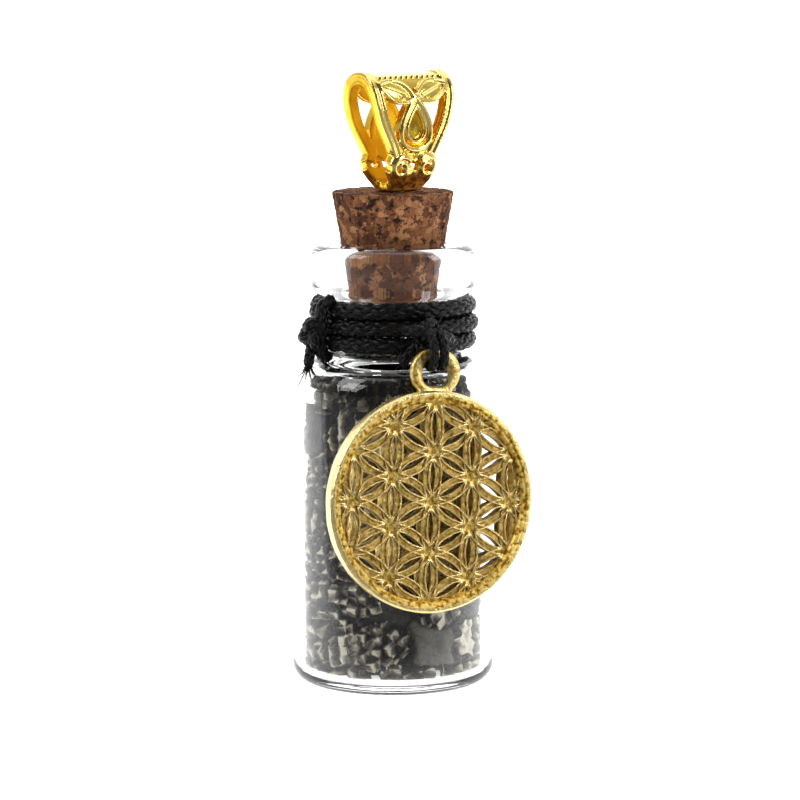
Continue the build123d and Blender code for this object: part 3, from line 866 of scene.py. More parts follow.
# %% Lattice tree
lattice_tree, given, result = new_geometry_tree("circle lattice", [
    ("Circle Radius", "NodeSocketFloat", 4.3 * mm),
    ("Cut Radius", "NodeSocketFloat", 8.7 * mm),
    ("Section", "NodeSocketObject", None),
    ("Material", "NodeSocketMaterial", None),
])
one_circle = place_node(lattice_tree, "GeometryNodeCurvePrimitiveCircle", {
    "Resolution": 132, "Radius": given.outputs["Circle Radius"]})
laid = place_node(lattice_tree, "GeometryNodeInstanceOnPoints", {
    "Points": given.outputs["Geometry"], "Instance": one_circle.outputs[0]})
circles = place_node(lattice_tree, "GeometryNodeRealizeInstances", {"Geometry": laid.outputs[0]})
wires = place_node(lattice_tree, "GeometryNodeCurveToMesh", {"Curve": circles.outputs[0]})
place = lattice_tree.nodes.new("GeometryNodeInputPosition").outputs[0]
distance = place_node(lattice_tree, "ShaderNodeVectorMath", {0: place}, operation="LENGTH").outputs["Value"]
outside = place_node(lattice_tree, "FunctionNodeCompare", {
    0: distance, 1: given.outputs["Cut Radius"]}, data_type="FLOAT", operation="GREATER_THAN")
trimmed = place_node(lattice_tree, "GeometryNodeDeleteGeometry", {
    "Geometry": wires.outputs[0], "Selection": outside.outputs[0]}, domain="POINT")
lines = place_node(lattice_tree, "GeometryNodeMeshToCurve", {"Mesh": trimmed.outputs[0]})
level_lines = place_node(lattice_tree, "GeometryNodeSetCurveNormal", {"Curve": lines.outputs[0]}, mode="Z_UP")
section = place_node(lattice_tree, "GeometryNodeObjectInfo", {"Object": given.outputs["Section"]})
bars = place_node(lattice_tree, "GeometryNodeCurveToMesh", {
    "Curve": level_lines.outputs[0], "Profile Curve": section.outputs["Geometry"], "Fill Caps": True})
real = place_node(lattice_tree, "GeometryNodeRealizeInstances", {"Geometry": bars.outputs[0]})
finished = place_node(lattice_tree, "GeometryNodeSetMaterial", {
    "Geometry": real.outputs[0], "Material": given.outputs["Material"]})
lattice_tree.links.new(finished.outputs[0], result.inputs[0])
print("lattice tree nodes", len(lattice_tree.nodes))

# %% [markdown]
# The net is seven rows of points, and the bar's section is one small closed outline. Where six
# circles meet, the ridges are pressed flat, and the whole lattice gets a slight ripple, because a
# casting is never quite even. How high each point ends up is kept for the finish to read.

# %% Lattice
lattice_radius = 8.65 * mm
circle_radius = lattice_radius / 2
net = []
for row in range(-3, 4):
    for column in range(-3, 4):
        if abs(row + column) <= 3:
            net.append((row * math.sqrt(3) / 2 * circle_radius, (column + row / 2) * circle_radius, 0))
net_mesh = bpy.data.meshes.new("net")
net_mesh.from_pydata(net, [], [])
net_object = bpy.data.objects.new("net", net_mesh)
scene.collection.objects.link(net_object)
bar_section = [
    (-0.33, -0.62), (-0.36, 0.26), (-0.34, 0.38), (-0.28, 0.42), (-0.22, 0.38), (-0.17, 0.24),
    (0.17, 0.24), (0.22, 0.38), (0.28, 0.42), (0.34, 0.38), (0.36, 0.26), (0.33, -0.62)]
section_object = path_object("bar section", [(x * mm, -y * mm, 0) for x, y in bar_section], cyclic=True)
lattice_mesh = run_tree(net_object, lattice_tree, {
    "Circle Radius": circle_radius, "Cut Radius": lattice_radius + 0.12 * mm,
    "Section": section_object, "Material": antique_gold}, "charm_lattice")
bpy.data.objects.remove(section_object)
lattice_relief = []
crossing_reach = 0.75 * mm
for vertex in lattice_mesh.vertices:
    to_crossing = min((vertex.co.xy - Vector(point[:2])).length for point in net)
    if to_crossing < crossing_reach and vertex.co.z > 0.3 * mm:
        vertex.co.z = (0.30 + 0.12 * max(0.0, to_crossing / mm - 0.45) / 0.3) * mm
    rise = (vertex.co.z / mm - 0.33) / 0.08
    lattice_relief.append(0.5 + 0.5 * max(-1.0, min(1.0, rise)) if vertex.co.z > 0.1 * mm else 0.42)
    ripple = noise.fractal(vertex.co / (0.8 * mm), 0.8, 2.0, 3) * 0.035 * mm
    vertex.co += Vector((ripple, -ripple, ripple))
print("lattice heights in mm", min(v.co.z for v in lattice_mesh.vertices) / mm,
      max(v.co.z for v in lattice_mesh.vertices) / mm, "faces", len(lattice_mesh.polygons))
keep_values(lattice_mesh, "relief", lattice_relief)
lattice_mesh.transform(charm_place)
lattice = finish_mesh("charm_lattice", lattice_mesh, antique_gold, angle=math.radians(40))

# %% [markdown]
# The rim is a lathe with a stepped section. The ring on top is a tube bent round a circle whose
# section changes with the angle: fine at the top, stronger at the sides, and flared at the foot,
# where it runs into the rim.

# %% Rim and ring
rim_outline = rounded([
    (8.60 * mm, -0.70 * mm, 0.1 * mm), (9.50 * mm, -0.80 * mm, 0.22 * mm),
    (9.60 * mm, 0.56 * mm, 0.08 * mm), (9.42 * mm, 0.78 * mm, 0.08 * mm),
    (9.02 * mm, 0.80 * mm, 0.06 * mm), (8.92 * mm, 0.66 * mm, 0.05 * mm),
    (8.70 * mm, 0.66 * mm, 0.07 * mm), (8.52 * mm, 0.30 * mm, 0.08 * mm)], steps=4)
rim = lathe("charm_rim", rim_outline, 240, antique_gold)
for vertex in rim.data.vertices:
    ripple = noise.fractal(vertex.co / (1.6 * mm), 0.8, 2.0, 3) * 0.04 * mm
    vertex.co += vertex.normal * ripple * 0.8


def ring_section(angle):
    """Half width in the plane and half depth of the hanging ring at an angle from its foot."""
    from_foot = 1 - abs(angle) / math.pi
    at_sides = math.sin(math.pi * min(1.0, 1.25 * from_foot))
    at_foot = max(0.0, from_foot - 0.72) / 0.28
    half_width = 0.36 + 0.20 * at_sides + 0.55 * at_foot
    half_depth = 0.36 + 0.10 * from_foot
    return half_width * mm, half_depth * mm


ring_middle_height = 11.05 * mm
ring_mid_radius = 1.72 * mm
ring_steps = 72
ring_points = 16
ring_vertices = []
ring_faces = []
for step in range(ring_steps):
    angle = -math.pi + 2 * math.pi * step / ring_steps
    half_width, half_depth = ring_section(angle)
    out = Vector((math.sin(angle), -math.cos(angle), 0))
    for point in range(ring_points):
        turn = 2 * math.pi * point / ring_points
        across = math.copysign(abs(math.cos(turn)) ** 0.8, math.cos(turn)) * half_width
        deep = math.copysign(abs(math.sin(turn)) ** 0.8, math.sin(turn)) * half_depth
        distance = ring_mid_radius + across + (half_width - 0.36 * mm) * 0.45
        ring_vertices.append(Vector((0, ring_middle_height, 0)) + out * distance + Vector((0, 0, deep)))
        following = (step + 1) % ring_steps * ring_points
        ring_faces.append((
            step * ring_points + point, following + point,
            following + (point + 1) % ring_points, step * ring_points + (point + 1) % ring_points))
ring_mesh = bpy.data.meshes.new("charm_ring")
ring_mesh.from_pydata(ring_vertices, [], ring_faces)
rim_mesh = rim.data
bpy.data.objects.remove(rim)
rim_ring_mesh = join_meshes("charm_rim_ring", [rim_mesh, ring_mesh])
rim_relief = []
for vertex in rim_ring_mesh.vertices:
    distance = vertex.co.xy.length / mm
    on_ring = vertex.co.y > 9.7 * mm
    rim_relief.append(0.70 if on_ring else 0.92 if distance > 9.35 else 0.55)
keep_values(rim_ring_mesh, "relief", rim_relief)
rim_ring_mesh.transform(charm_place)
rim_ring = finish_mesh("charm_rim_ring", rim_ring_mesh, antique_gold, angle=math.radians(50))
hand_over(lattice, "charm", "antique_gold_plate")
hand_over(rim_ring, "charm", "antique_gold_plate", "charm_disc")
print("charm faces", len(lattice.data.polygons), len(rim_ring.data.polygons))

# %% [markdown]
# The bail is a cast and gold-plated strap bent into an eye. Its pattern is easiest to draw flat:
# across the strap, along it, and outward. Each rail, leaf, drop and scroll is a simple bar or
# plate in that flat space; all of them are bent on to the strap's path, and a voxel remesh then
# melts them into one skin with soft inner corners, as the cast metal has.

# %% Polished gold plate
gold_plate, tree, shader = new_material("polished gold plate")
rubbed = use_group(tree, wear_and_painted_light, {"Relief": kept_value(tree, "relief"), "Break Up": 0.35, "Size": 1100.0})
frost = use_group(tree, grain, {"Size": 5200.0, "Contrast": 1.4})
tarnish = use_group(tree, grain, {"Size": 700.0, "Contrast": 1.5})
warm = colour_ramp(tree, tarnish["Amount"], [(0.3, (0.86, 0.50, 0.03)), (0.7, (1.0, 0.68, 0.09))])
frosted = mix_colour(tree, rubbed["Sunken"], warm, (0.86, 0.52, 0.015))
sand = maths(tree, "MULTIPLY", frost["Height"], rubbed["Sunken"])
cast_skin = maths(tree, "MULTIPLY_ADD", tarnish["Height"], 0.9, sand)
feed_all(tree, shader, {
    "Base Color": mix_colour(tree, rubbed["Raised"], frosted, (1.0, 0.76, 0.24)), "Metallic": 1.0,
    "Roughness": spread(tree, rubbed["Sunken"], 0.0, 1.0, 0.13, 0.5),
    "Normal": bump(tree, cast_skin, 0.35, 0.00012)})
print("gold plate nodes", len(tree.nodes))

# %% [markdown]
# The strap goes up the front, over the crown and down the back. Its outer face is half a path
# and its mirror image. A length along that path gives a place and the direction that points
# outward there, which is all that is needed to bend a flat drawing on to the strap.

# %% Strap path
bail_hinge = Vector(joints["bail_turn"]["pos_m"])
bail_turn = math.radians(40)
bail_side = Vector((math.cos(bail_turn), math.sin(bail_turn), 0))
bail_front = Vector((math.sin(bail_turn), -math.cos(bail_turn), 0))
bail_foot = bail_hinge + Vector((0, 0, 0.03 * mm))
half_path = [(0.9, 0.12), (1.5, 0.55), (1.95, 1.5), (2.25, 2.9), (2.45, 4.5), (2.5, 6.2), (2.45, 7.6),
             (2.25, 8.7), (1.75, 9.65), (0.95, 10.28), (0.0, 10.48)]
outer_path = smooth_path([(d, 0, h) for d, h in half_path] + [(-d, 0, h) for d, h in half_path[-2::-1]], 12)
outer_path = [Vector((p.x, p.z)) for p in outer_path]
path_length = [0.0]
for first, second in zip(outer_path, outer_path[1:]):
    path_length.append(path_length[-1] + (second - first).length)
crown_length = path_length[-1] / 2
print("strap length in mm", round(path_length[-1], 2))


def path_at(length):
    """Place and outward direction on the strap's outer face at a length from the front foot."""
    length = max(0.0, min(path_length[-1] - 1e-6, length))
    low, high = 0, len(path_length) - 1
    while high - low > 1:
        middle_index = (low + high) // 2
        if path_length[middle_index] <= length:
            low = middle_index
        else:
            high = middle_index
    share = (length - path_length[low]) / (path_length[high] - path_length[low])
    place = outer_path[low].lerp(outer_path[high], share)
    before = outer_path[max(0, low - 2)]
    after = outer_path[min(len(outer_path) - 1, high + 2)]
    direction = (after - before).normalized()
    return place, Vector((direction.y, -direction.x))


def length_at(height):
    """Length along the front panel at a height above the foot."""
    for index, place in enumerate(outer_path):
        if place.y >= height or index >= len(outer_path) // 2:
            return path_length[index]


def half_width(height):
    """Half of the strap's width at a height: wide over the top, narrow at the waist."""
    table = [(0, 1.9), (0.6, 2.1), (1.7, 2.75), (2.5, 2.65), (3.1, 2.3), (4.2, 2.85), (5.65, 3.65),
             (6.5, 4.0), (8.0, 4.4), (9.6, 4.6), (11, 4.6)]
    for (h0, w0), (h1, w1) in zip(table, table[1:]):
        if height <= h1:
            return w0 + (w1 - w0) * (height - h0) / (h1 - h0)


def bend(across, length, outward, rear=False):
    """Flat strap place in mm to the finished place."""
    place, away = path_at(path_length[-1] - length if rear else length)
    point = place + away * outward
    flat_across = -across if rear else across
    return bail_foot + (bail_side * flat_across + bail_front * point.x + Vector((0, 0, point.y))) * mm


# %% [markdown]
# Two kinds of solid make the whole pattern: a bar along a flat line, and a plate inside a flat
# outline. Both are written in flat millimetres and bent as they are made. The drop, the leaf and
# the scroll are only outlines for them, each a short formula.

# %% Bail bars and plates
bail_work = bmesh.new()


def add_grid(rows, rear=False):
    """Closed bar through rows of (across, length, outward) points, each row a closed section."""
    made = [[bail_work.verts.new(bend(*point, rear=rear)) for point in row] for row in rows]
    for first, second in zip(made, made[1:]):
        for index in range(len(first)):
            following = (index + 1) % len(first)
            bail_work.faces.new((first[index], first[following], second[following], second[index]))
    bail_work.faces.new(list(reversed(made[0])))
    bail_work.faces.new(made[-1])


def bar(centre_line, half_across, top, bottom, rear=False, crest=0.0):
    """Bar of rounded section along a flat line of (across, length)."""
    rows = []
    for index, (across, length) in enumerate(centre_line):
        before = Vector(centre_line[max(0, index - 1)])
        after = Vector(centre_line[min(len(centre_line) - 1, index + 1)])
        direction = (after - before).normalized()
        side = Vector((direction.y, -direction.x))
        wide = half_across(index / (len(centre_line) - 1)) if callable(half_across) else half_across
        soft = min(wide * 0.45, 0.14)
        section = [(-wide, bottom), (-wide, top - soft), (-wide + soft, top), (0, top + crest),
                   (wide - soft, top), (wide, top - soft), (wide, bottom)]
        rows.append([(across + side.x * o, length + side.y * o, n) for o, n in section])
    add_grid(rows, rear)


def plate(edge_line, top, bottom, rear=False, dome=0.0):
    """Filled plate inside a closed flat outline, fanned from its middle."""
    middle_across = sum(point[0] for point in edge_line) / len(edge_line)
    middle_length = sum(point[1] for point in edge_line) / len(edge_line)
    shares = (1.0, 0.75, 0.5, 0.25)
    rings = []
    for share in shares:
        rings.append([(middle_across + (a - middle_across) * share,
                       middle_length + (l - middle_length) * share) for a, l in edge_line])
    upper = [[bail_work.verts.new(bend(a, l, top + dome * (1 - share ** 2), rear=rear)) for a, l in ring]
             for ring, share in zip(rings, shares)]
    lower = [[bail_work.verts.new(bend(a, l, bottom, rear=rear)) for a, l in ring] for ring in rings]
    top_middle = bail_work.verts.new(bend(middle_across, middle_length, top + dome, rear=rear))
    low_middle = bail_work.verts.new(bend(middle_across, middle_length, bottom, rear=rear))
    count = len(edge_line)
    for index in range(count):
        following = (index + 1) % count
        for outer, inner in zip(upper, upper[1:]):
            bail_work.faces.new((outer[index], outer[following], inner[following], inner[index]))
        for outer, inner in zip(lower, lower[1:]):
            bail_work.faces.new((inner[index], inner[following], outer[following], outer[index]))
        bail_work.faces.new((upper[-1][index], upper[-1][following], top_middle))
        bail_work.faces.new((lower[-1][following], lower[-1][index], low_middle))
        bail_work.faces.new((upper[0][following], upper[0][index], lower[0][index], lower[0][following]))


def drop_outline(half_across, low, high, count=48):
    """Closed drop: round below, pointed above; as (across, length)."""
    outline = []
    for step in range(count):
        t = 2 * math.pi * step / count
        rise = (1 - math.cos(t)) / 2
        swell = math.sin(t) * (1 - rise) ** 0.55 * 1.32
        outline.append((half_across * swell, low + (high - low) * rise))
    return outline


def leaf_outline(start, finish, half_across, count=36):
    """Closed marquise between two flat places."""
    start, finish = Vector(start), Vector(finish)
    direction = finish - start
    side = Vector((-direction.y, direction.x)).normalized()
    outline = []
    for step in range(count):
        t = 2 * step / count
        forward = t if t <= 1 else 2 - t
        swell = half_across * math.sin(math.pi * forward) ** 0.8 * (1 if t <= 1 else -1)
        place = start + direction * forward + side * swell
        outline.append((place.x, place.y))
    return outline


def scroll_line(centre, radius, first, turns, inward, count=40):
    """Spiral line of a volute."""
    line = []
    for step in range(count + 1):
        share = step / count
        angle = first + turns * 2 * math.pi * share
        distance = radius * (1 - inward * share)
        line.append((centre[0] + math.cos(angle) * distance, centre[1] + math.sin(angle) * distance))
    return line


# %% [markdown]
# Front and rear carry the same pattern, and its left and right halves mirror each other, so two
# loops draw all of it: grooved rails, webs at the waist, scrolls over the foot and leaves over the
# shoulder. The drop, the saddle with its beads and the fan-shaped foot stand in the middle.

# %% Bail pattern
for rear in (False, True):
    for hand in (-1, 1):
        # rail along the edge, with the groove that separates its two ridges
        edge = []
        for step in range(61):
            length = length_at(2.3) + (crown_length + 0.2 - length_at(2.3)) * step / 60
            height = path_at(length)[0].y
            edge.append((hand * (half_width(height) - 0.48), length))
        bar(edge, 0.48, -0.10, -1.05, rear)
        bar([(a + hand * 0.29, l) for a, l in edge], 0.19, 0.03, -0.4, rear)
        bar([(a - hand * 0.32, l) for a, l in edge], 0.15, 0.0, -0.4, rear)
        # webs from the rails down to the middle of the waist
        web_top, web_foot = length_at(4.15), length_at(2.75)
        web = [(hand * (2.25 - 2.25 * t), web_top + (web_foot - web_top) * t ** 0.8)
               for t in [step / 12 for step in range(13)]]
        bar(web, 0.52, -0.22, -0.95, rear, crest=0.05)
        # scrolls over the foot
        scroll_start = math.pi / 2 + hand * 0.9
        scroll = scroll_line((hand * 1.42, length_at(2.15)), 1.02, scroll_start, -hand * 1.35, 0.72)
        bar(scroll, lambda share: 0.30 - 0.08 * share, 0.18, -0.8, rear, crest=0.06)
        # leaves over the shoulder of the strap
        leaf = ((hand * 0.10, length_at(8.15)), (hand * 3.75, length_at(9.5)), 0.98)
        plate(leaf_outline(*leaf), -0.22, -0.9, rear, dome=0.12)
        rib = leaf_outline(*leaf)
        bar(rib + rib[:1], 0.17, 0.08, -0.6, rear)
        vein = [(leaf[0][0] + (leaf[1][0] - leaf[0][0]) * t, leaf[0][1] + (leaf[1][1] - leaf[0][1]) * t)
                for t in [0.2 + 0.06 * step for step in range(11)]]
        bar(vein, 0.07, 0.02, -0.4, rear)
    # drop with two frames round a sunken plate
    drop = drop_outline(1.66, length_at(3.6), length_at(8.3))
    plate(drop, -0.42, -0.9, rear)
    bar(drop + drop[:1], 0.27, 0.06, -0.95, rear, crest=0.06)
    inner = drop_outline(1.02, length_at(4.25), length_at(7.4))
    bar(inner + inner[:1], 0.18, 0.02, -0.6, rear, crest=0.05)
    # saddle that closes the strap over the crown, with a beaded band
    saddle = []
    for step in range(25):
        length = length_at(9.0) + (crown_length + 0.3 - length_at(9.0)) * step / 24
        wide = half_width(path_at(length)[0].y) - 0.3
        saddle.append([(-wide + 2 * wide * c / 12, length, -0.2) for c in range(13)]
                      + [(wide - 2 * wide * c / 12, length, -0.85) for c in range(13)])
    add_grid(saddle, rear)
    for bead in range(13):
        across = -3.6 + 0.6 * bead
        outline = [(across + 0.24 * math.cos(t), length_at(10.1) + 0.24 * math.sin(t))
                   for t in [math.pi * step / 6 for step in range(12)]]
        plate(outline, -0.14, -0.5, rear, dome=0.2)
    # foot: a fan that curves under to the middle
    foot = []
    for step in range(17):
        length = length_at(1.75) * (1 - step / 16)
        wide = half_width(path_at(length)[0].y) - 0.12
        fluted = [-0.12 + 0.09 * math.cos(3 * math.pi * c / 7) for c in range(15)]
        foot.append([(-wide + 2 * wide * c / 14, length, fluted[c]) for c in range(15)]
                    + [(wide - 2 * wide * c / 14, length, -0.85) for c in range(15)])
    add_grid(foot, rear)

foot_block = bmesh.ops.create_cube(bail_work, size=1.0)["verts"]
for vertex in foot_block:
    place = vertex.co
    vertex.co = bail_foot + (bail_side * place.x * 3.5 + bail_front * place.y * 2.3) * mm \
        + Vector((0, 0, 0.42 + place.z * 0.74)) * mm

bmesh.ops.recalc_face_normals(bail_work, faces=bail_work.faces)
print("bail pattern points", len(bail_work.verts))
bail_mesh = bpy.data.meshes.new("filigree_bail_cast")
bail_work.to_mesh(bail_mesh)
bail_work.free()

# %% [markdown]
# So far the bail is hundreds of solids that run through each other. A voxel remesh keeps only
# their common skin, and a few rounds of smoothing round the inner corners as plating does. How
# far each point stands out of the strap is then kept for the finish.

# %% Melt the bail into one casting
melt_voxel = 0.081 * mm
rough_bail = bpy.data.objects.new("rough bail", bail_mesh)
scene.collection.objects.link(rough_bail)
melt = rough_bail.modifiers.new("melt", "REMESH")
melt.mode = "VOXEL"
melt.voxel_size = melt_voxel
soften = rough_bail.modifiers.new("soften", "SMOOTH")
soften.iterations = 3
soften.factor = 0.5
cast_mesh = bpy.data.meshes.new_from_object(rough_bail.evaluated_get(bpy.context.evaluated_depsgraph_get()))
bpy.data.objects.remove(rough_bail)
bail_relief = []
for vertex in cast_mesh.vertices:
    local = (vertex.co - bail_foot) / mm
    flat = Vector((local.dot(bail_front), local.z))
    nearest = min(range(0, len(outer_path), 3), key=lambda index: (outer_path[index] - flat).length_squared)
    low = max(0, nearest - 3)
    high = min(len(outer_path) - 1, nearest + 3)
    direction = (outer_path[high] - outer_path[low]).normalized()
    outward = (flat - outer_path[nearest]).dot(Vector((direction.y, -direction.x)))
    if outward > -0.5:
        bail_relief.append(max(0.0, min(1.0, 0.95 + outward * 1.1)))
    else:
        bail_relief.append(0.55 if outward > -0.8 else 0.2)
keep_values(cast_mesh, "relief", bail_relief)
bail = finish_mesh("filigree_bail_cast", cast_mesh, gold_plate)
hand_over(bail, "bail", "gold_plate", "filigree_bail")
peg = frame["nodes"]["bail_peg"]
peg.data.materials.clear()
peg.data.materials.append(gold_plate)
print("bail faces", len(bail.data.polygons))

# %% [markdown]
# The fill is rough pyrite. Some lumps are water-worn and a dull dark grey; others are clusters of
# small cubes with right-angled steps and bright faces. Every lump starts from its own packed
# solid, so that none of them meet. A worn lump is melted and smoothed. A crystal lump has its
# points drawn towards a turned cubic grid, coarse first and then fine, which cuts the steps.

# %% Pyrite finishes
def shade_gaps(tree, colour):
    """Darken a colour away from the glass, where little light comes between the lumps."""
    gap = mix_colour(tree, 1.0, colour, (0.10, 0.095, 0.085), "MULTIPLY")
    return mix_colour(tree, kept_value(tree, "shown"), gap, colour)


pyrite, tree, shader = new_material("pyrite crystals")
speckle = use_group(tree, grain, {"Size": 1500.0, "Contrast": 1.9})["Amount"]
tooth = use_group(tree, grain, {"Size": 7000.0, "Contrast": 1.4})["Height"]
cut = use_group(tree, wear_and_painted_light, {"Relief": kept_value(tree, "relief"), "Break Up": 0.8, "Size": 1600.0})
brass = colour_ramp(tree, kept_value(tree, "tone"), [
    (0.0, (0.07, 0.06, 0.044)), (0.5, (0.17, 0.15, 0.11)), (1.0, (0.34, 0.31, 0.24))])
speckle_and_crevice_shade = mix_colour(tree, speckle, (0.010, 0.008, 0.006), brass)
# painted shade: points that the cutting pushed in are made near-black, as crevices between the steps look in
# shade
speckle_and_crevice_shade = mix_colour(tree, cut["Sunken"], speckle_and_crevice_shade, (0.005, 0.004, 0.003))
# painted highlight: points that the cutting pushed out are made pale cream, as if they caught the light
painted_facet_highlight = mix_colour(tree, maths(tree, "MULTIPLY", cut["Raised"], 0.75), speckle_and_crevice_shade, (0.74, 0.69, 0.57))
grooves = place_node(tree, "ShaderNodeTexWave", {
    "Vector": object_place(tree), "Scale": 900.0, "Distortion": 2.5, "Detail": 2.0},
    bands_direction="DIAGONAL").outputs["Fac"]
striated = maths(tree, "MULTIPLY_ADD", grooves, 0.25, tooth)
feed_all(tree, shader, {
    "Base Color": shade_gaps(tree, painted_facet_highlight), "Metallic": spread(tree, speckle, 0.25, 0.5, 0.3, 1.0),
    "Roughness": spread(tree, speckle, 0.3, 0.8, 0.5, 0.2), "Normal": bump(tree, striated, 0.6, 0.00012)})

worn_stone, tree, shader = new_material("worn grey pyrite")
speckle = use_group(tree, grain, {"Size": 2400.0, "Contrast": 1.6})
patches = use_group(tree, grain, {"Size": 500.0, "Contrast": 1.8})["Amount"]
greys = colour_ramp(tree, kept_value(tree, "tone"), [
    (0.0, (0.012, 0.012, 0.011)), (0.5, (0.035, 0.034, 0.031)),
    (0.8, (0.10, 0.10, 0.094)), (1.0, (0.27, 0.27, 0.26))])
lighter = mix_colour(tree, 1.0, greys, (1.9, 1.85, 1.7), "MULTIPLY")
spotted = mix_colour(tree, speckle["Amount"], greys, lighter)
darker = mix_colour(tree, 1.0, spotted, (0.5, 0.48, 0.44), "MULTIPLY")
feed_all(tree, shader, {
    "Base Color": shade_gaps(tree, mix_colour(tree, patches, spotted, darker)), "Metallic": 0.1,
    "Specular IOR Level": 0.32, "Roughness": spread(tree, patches, 0.2, 0.8, 0.32, 0.6),
    "Normal": bump(tree, speckle["Height"], 0.7, 0.0003)})
print("pyrite finishes", pyrite.name, "and", worn_stone.name)

# %% [markdown]
# A packed lump is a few flat faces. It is merged and given an even skin first, so that there are
# points enough to move. Every moved point is then brought back inside the vial's inner wall,
# floor and shoulder. Each lump keeps three things for its finish: how far a point stands up, how
# near it is to the glass, and one random tone for the whole lump.

# %% Stone maker
def remeshed_copy(node_name, voxel):
    """Merged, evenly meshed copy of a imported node's solids."""
    work = bmesh.new()
    work.from_mesh(frame["nodes"][node_name].data)
    bmesh.ops.remove_doubles(work, verts=work.verts, dist=1e-7)
    mesh = bpy.data.meshes.new(node_name + " merged")
    work.to_mesh(mesh)
    work.free()
    lump = bpy.data.objects.new(node_name + " merged", mesh)
    scene.collection.objects.link(lump)
    even_skin = lump.modifiers.new("skin", "REMESH")
    even_skin.mode = "VOXEL"
    even_skin.voxel_size = voxel
    made = bpy.data.meshes.new_from_object(lump.evaluated_get(bpy.context.evaluated_depsgraph_get()))
    bpy.data.objects.remove(lump)
    bpy.data.meshes.remove(mesh)
    return made


fill_radius = vial_radius - glass_wall - 0.06 * mm
fill_floor = 1.04 * mm
gap_depth = 1.3 * mm
neck_reach = bore_radius - 0.12 * mm
inner_shoulder_curve = 1.8 * mm
fill_ceiling = shoulder - glass_wall - 0.08 * mm


def inside_glass(place):
    """Bring a point back inside the vial's inner wall, floor and shoulder."""
    place = place.copy()
    limit = fill_radius
    curve_start = fill_ceiling - inner_shoulder_curve
    if place.z > curve_start:
        rise = min(1.0, (place.z - curve_start) / inner_shoulder_curve)
        limit -= inner_shoulder_curve * (1 - math.sqrt(1 - rise * rise))
    if place.z < fill_floor + 1.0 * mm:
        fall = min(1.0, (fill_floor + 1.0 * mm - place.z) / (1.0 * mm))
        limit -= 1.0 * mm * (1 - math.sqrt(1 - fall * fall))
    if place.xy.length > limit:
        place.xy = place.xy.normalized() * limit
    place.z = max(fill_floor, min(fill_ceiling, place.z))
    return place


def shape_stone(mesh, name, crystal, seed, *nodes, in_neck=False):
    """Cut or smooth an even mesh into a finished lump, or group of lumps."""
    draw = random.Random(seed)
    middle = sum((v.co for v in mesh.vertices), Vector()) / len(mesh.vertices)
    turned = Matrix.Rotation(draw.uniform(0, math.pi), 3, Vector([draw.gauss(0, 1) for _ in range(3)]))
    coarse = draw.uniform(0.62, 1.0) * mm
    fine = coarse * 0.46
    askew = Matrix.Rotation(draw.uniform(0.3, 1.2), 3, Vector([draw.gauss(0, 1) for _ in range(3)]))
    shade = draw.random()
    drift = Vector([draw.uniform(-50, 50) for _ in range(3)])
    work = bmesh.new()
    work.from_mesh(mesh)
    if not crystal:
        for _ in range(9):
            bmesh.ops.smooth_vert(work, verts=work.verts, factor=0.5,
                                  use_axis_x=True, use_axis_y=True, use_axis_z=True)
    relief = []
    for vertex in work.verts:
        place = vertex.co.copy()
        if crystal:
            # towards a coarse cubic grid, then towards a finer one that is turned against it
            local = turned @ (place - middle)
            local = Vector([c + (round(c / coarse) * coarse - c) * 0.62 for c in local])
            local = askew @ local
            local = Vector([c + (round(c / fine) * fine - c) * 0.7 for c in local])
            local = askew.transposed() @ local
            jag = noise.cell((turned @ (place - middle)) / (0.5 * mm) + drift)
            moved_place = turned.transposed() @ local + middle + vertex.normal * (jag - 0.5) * 0.10 * mm
            relief.append(min(1.0, max(0.0, 0.5 + (moved_place - place).dot(vertex.normal) / (0.35 * mm))))
        else:
            lump_noise = noise.fractal(place / (1.5 * mm) + drift, 0.8, 2.0, 3)
            moved_place = place + vertex.normal * (lump_noise * 0.34 - 0.04) * mm
            relief.append(0.5)
        if not in_neck:
            moved_place = inside_glass(moved_place)
        elif moved_place.xy.length > neck_reach:
            moved_place.xy = moved_place.xy.normalized() * neck_reach
        vertex.co = moved_place
    work.to_mesh(mesh)
    work.free()
    keep_values(mesh, "relief", relief)
    keep_values(mesh, "shown", [
        0.8 if in_neck else min(1.0, max(0.0, 1 - (fill_radius - vertex.co.xy.length) / gap_depth))
        for vertex in mesh.vertices])
    keep_values(mesh, "tone", [shade] * len(mesh.vertices))
    made = finish_mesh(name, mesh, pyrite if crystal else worn_stone, math.radians(34) if crystal else None)
    hand_over(made, "vial", "pyrite", *nodes)
    return made


# %% [markdown]
# Two in three of the large lumps are crystals, picked by a seeded draw, so that the fill is the
# same each time. The small lumps by the glass and the crumbs on the floor are crystals too, and
# those in the middle, which hardly show, are plain worn ones.

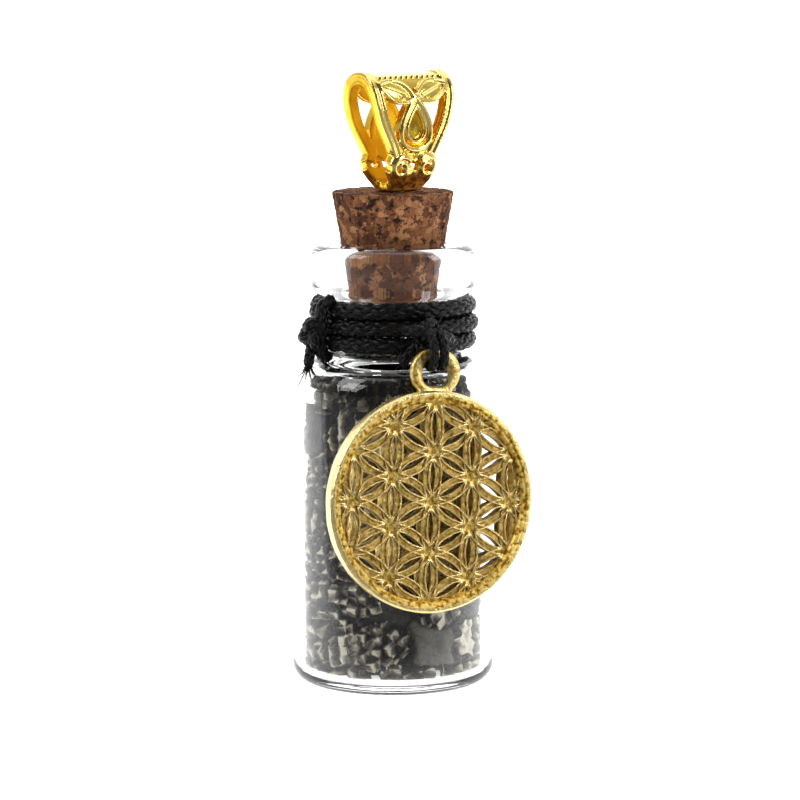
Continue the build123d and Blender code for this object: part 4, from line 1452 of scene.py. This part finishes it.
# %% Stones
stone_draw = random.Random(41)
crystal_share = 0.66
lump_voxel = 0.15 * mm
small_voxel = 0.13 * mm
stone_faces = 0
chip_names = sorted(name for name in frame["nodes"] if name.startswith("pyrite_chip_"))
for index, chip_name in enumerate(chip_names):
    is_crystal = stone_draw.random() < crystal_share
    stone_name = chip_name.replace("chip", "stone")
    lump = shape_stone(remeshed_copy(chip_name, lump_voxel), stone_name, is_crystal, 100 + index, chip_name)
    stone_faces += len(lump.data.polygons)
for index, (node_name, piece_name, is_crystal) in enumerate((
        ("pyrite_core_chips", "pyrite_core_stones", False),
        ("pyrite_small_chips_lower", "pyrite_small_stones_lower", True),
        ("pyrite_small_chips_middle", "pyrite_small_stones_middle", True),
        ("pyrite_small_chips_upper", "pyrite_small_stones_upper", True),
        ("pyrite_crumbs", "pyrite_crumb_stones", True))):
    lump = shape_stone(remeshed_copy(node_name, small_voxel), piece_name, is_crystal, 300 + index, node_name)
    stone_faces += len(lump.data.polygons)
print("stones", len(chip_names) + 5, "faces", stone_faces)

# %% [markdown]
# A few small lumps are heaped up under the neck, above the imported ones. They carry nothing and
# touch nothing that moves, so they are shaped here only, from rounded seeds cut like the others.

# %% Heap under the neck
heap_draw = random.Random(77)
heap_count = 15
golden_share = 0.382
heap_base = 28.1 * mm
heap_radius = 3.4 * mm
heap_work = bmesh.new()
for index in range(heap_count):
    turn = 2 * math.pi * (index * golden_share)
    distance = (0.8 + 2.6 * ((index * 7) % heap_count) / (heap_count - 1)) * mm
    size = heap_draw.uniform(0.75, 1.15) * mm
    layer = 2.1 * mm if index % 3 == 0 else 0.9 * mm
    height = heap_base + layer * (1 - 0.25 * distance / heap_radius)
    before = len(heap_work.verts)
    bmesh.ops.create_icosphere(heap_work, subdivisions=3, radius=size)
    heap_work.verts.ensure_lookup_table()
    stretch = Matrix.Diagonal([heap_draw.uniform(*ends) for ends in ((0.75, 1.15), (0.75, 1.15), (0.6, 0.9))])
    for vertex in heap_work.verts[before:]:
        vertex.co = stretch @ vertex.co + front(math.degrees(turn), distance, height)
heap_mesh = bpy.data.meshes.new("pyrite_heap_stones")
heap_work.to_mesh(heap_mesh)
heap_work.free()
heap = shape_stone(heap_mesh, "pyrite_heap_stones", True, 500, in_neck=True)
print("heap top in mm", max(vertex.co.z for vertex in heap.data.vertices) / mm)
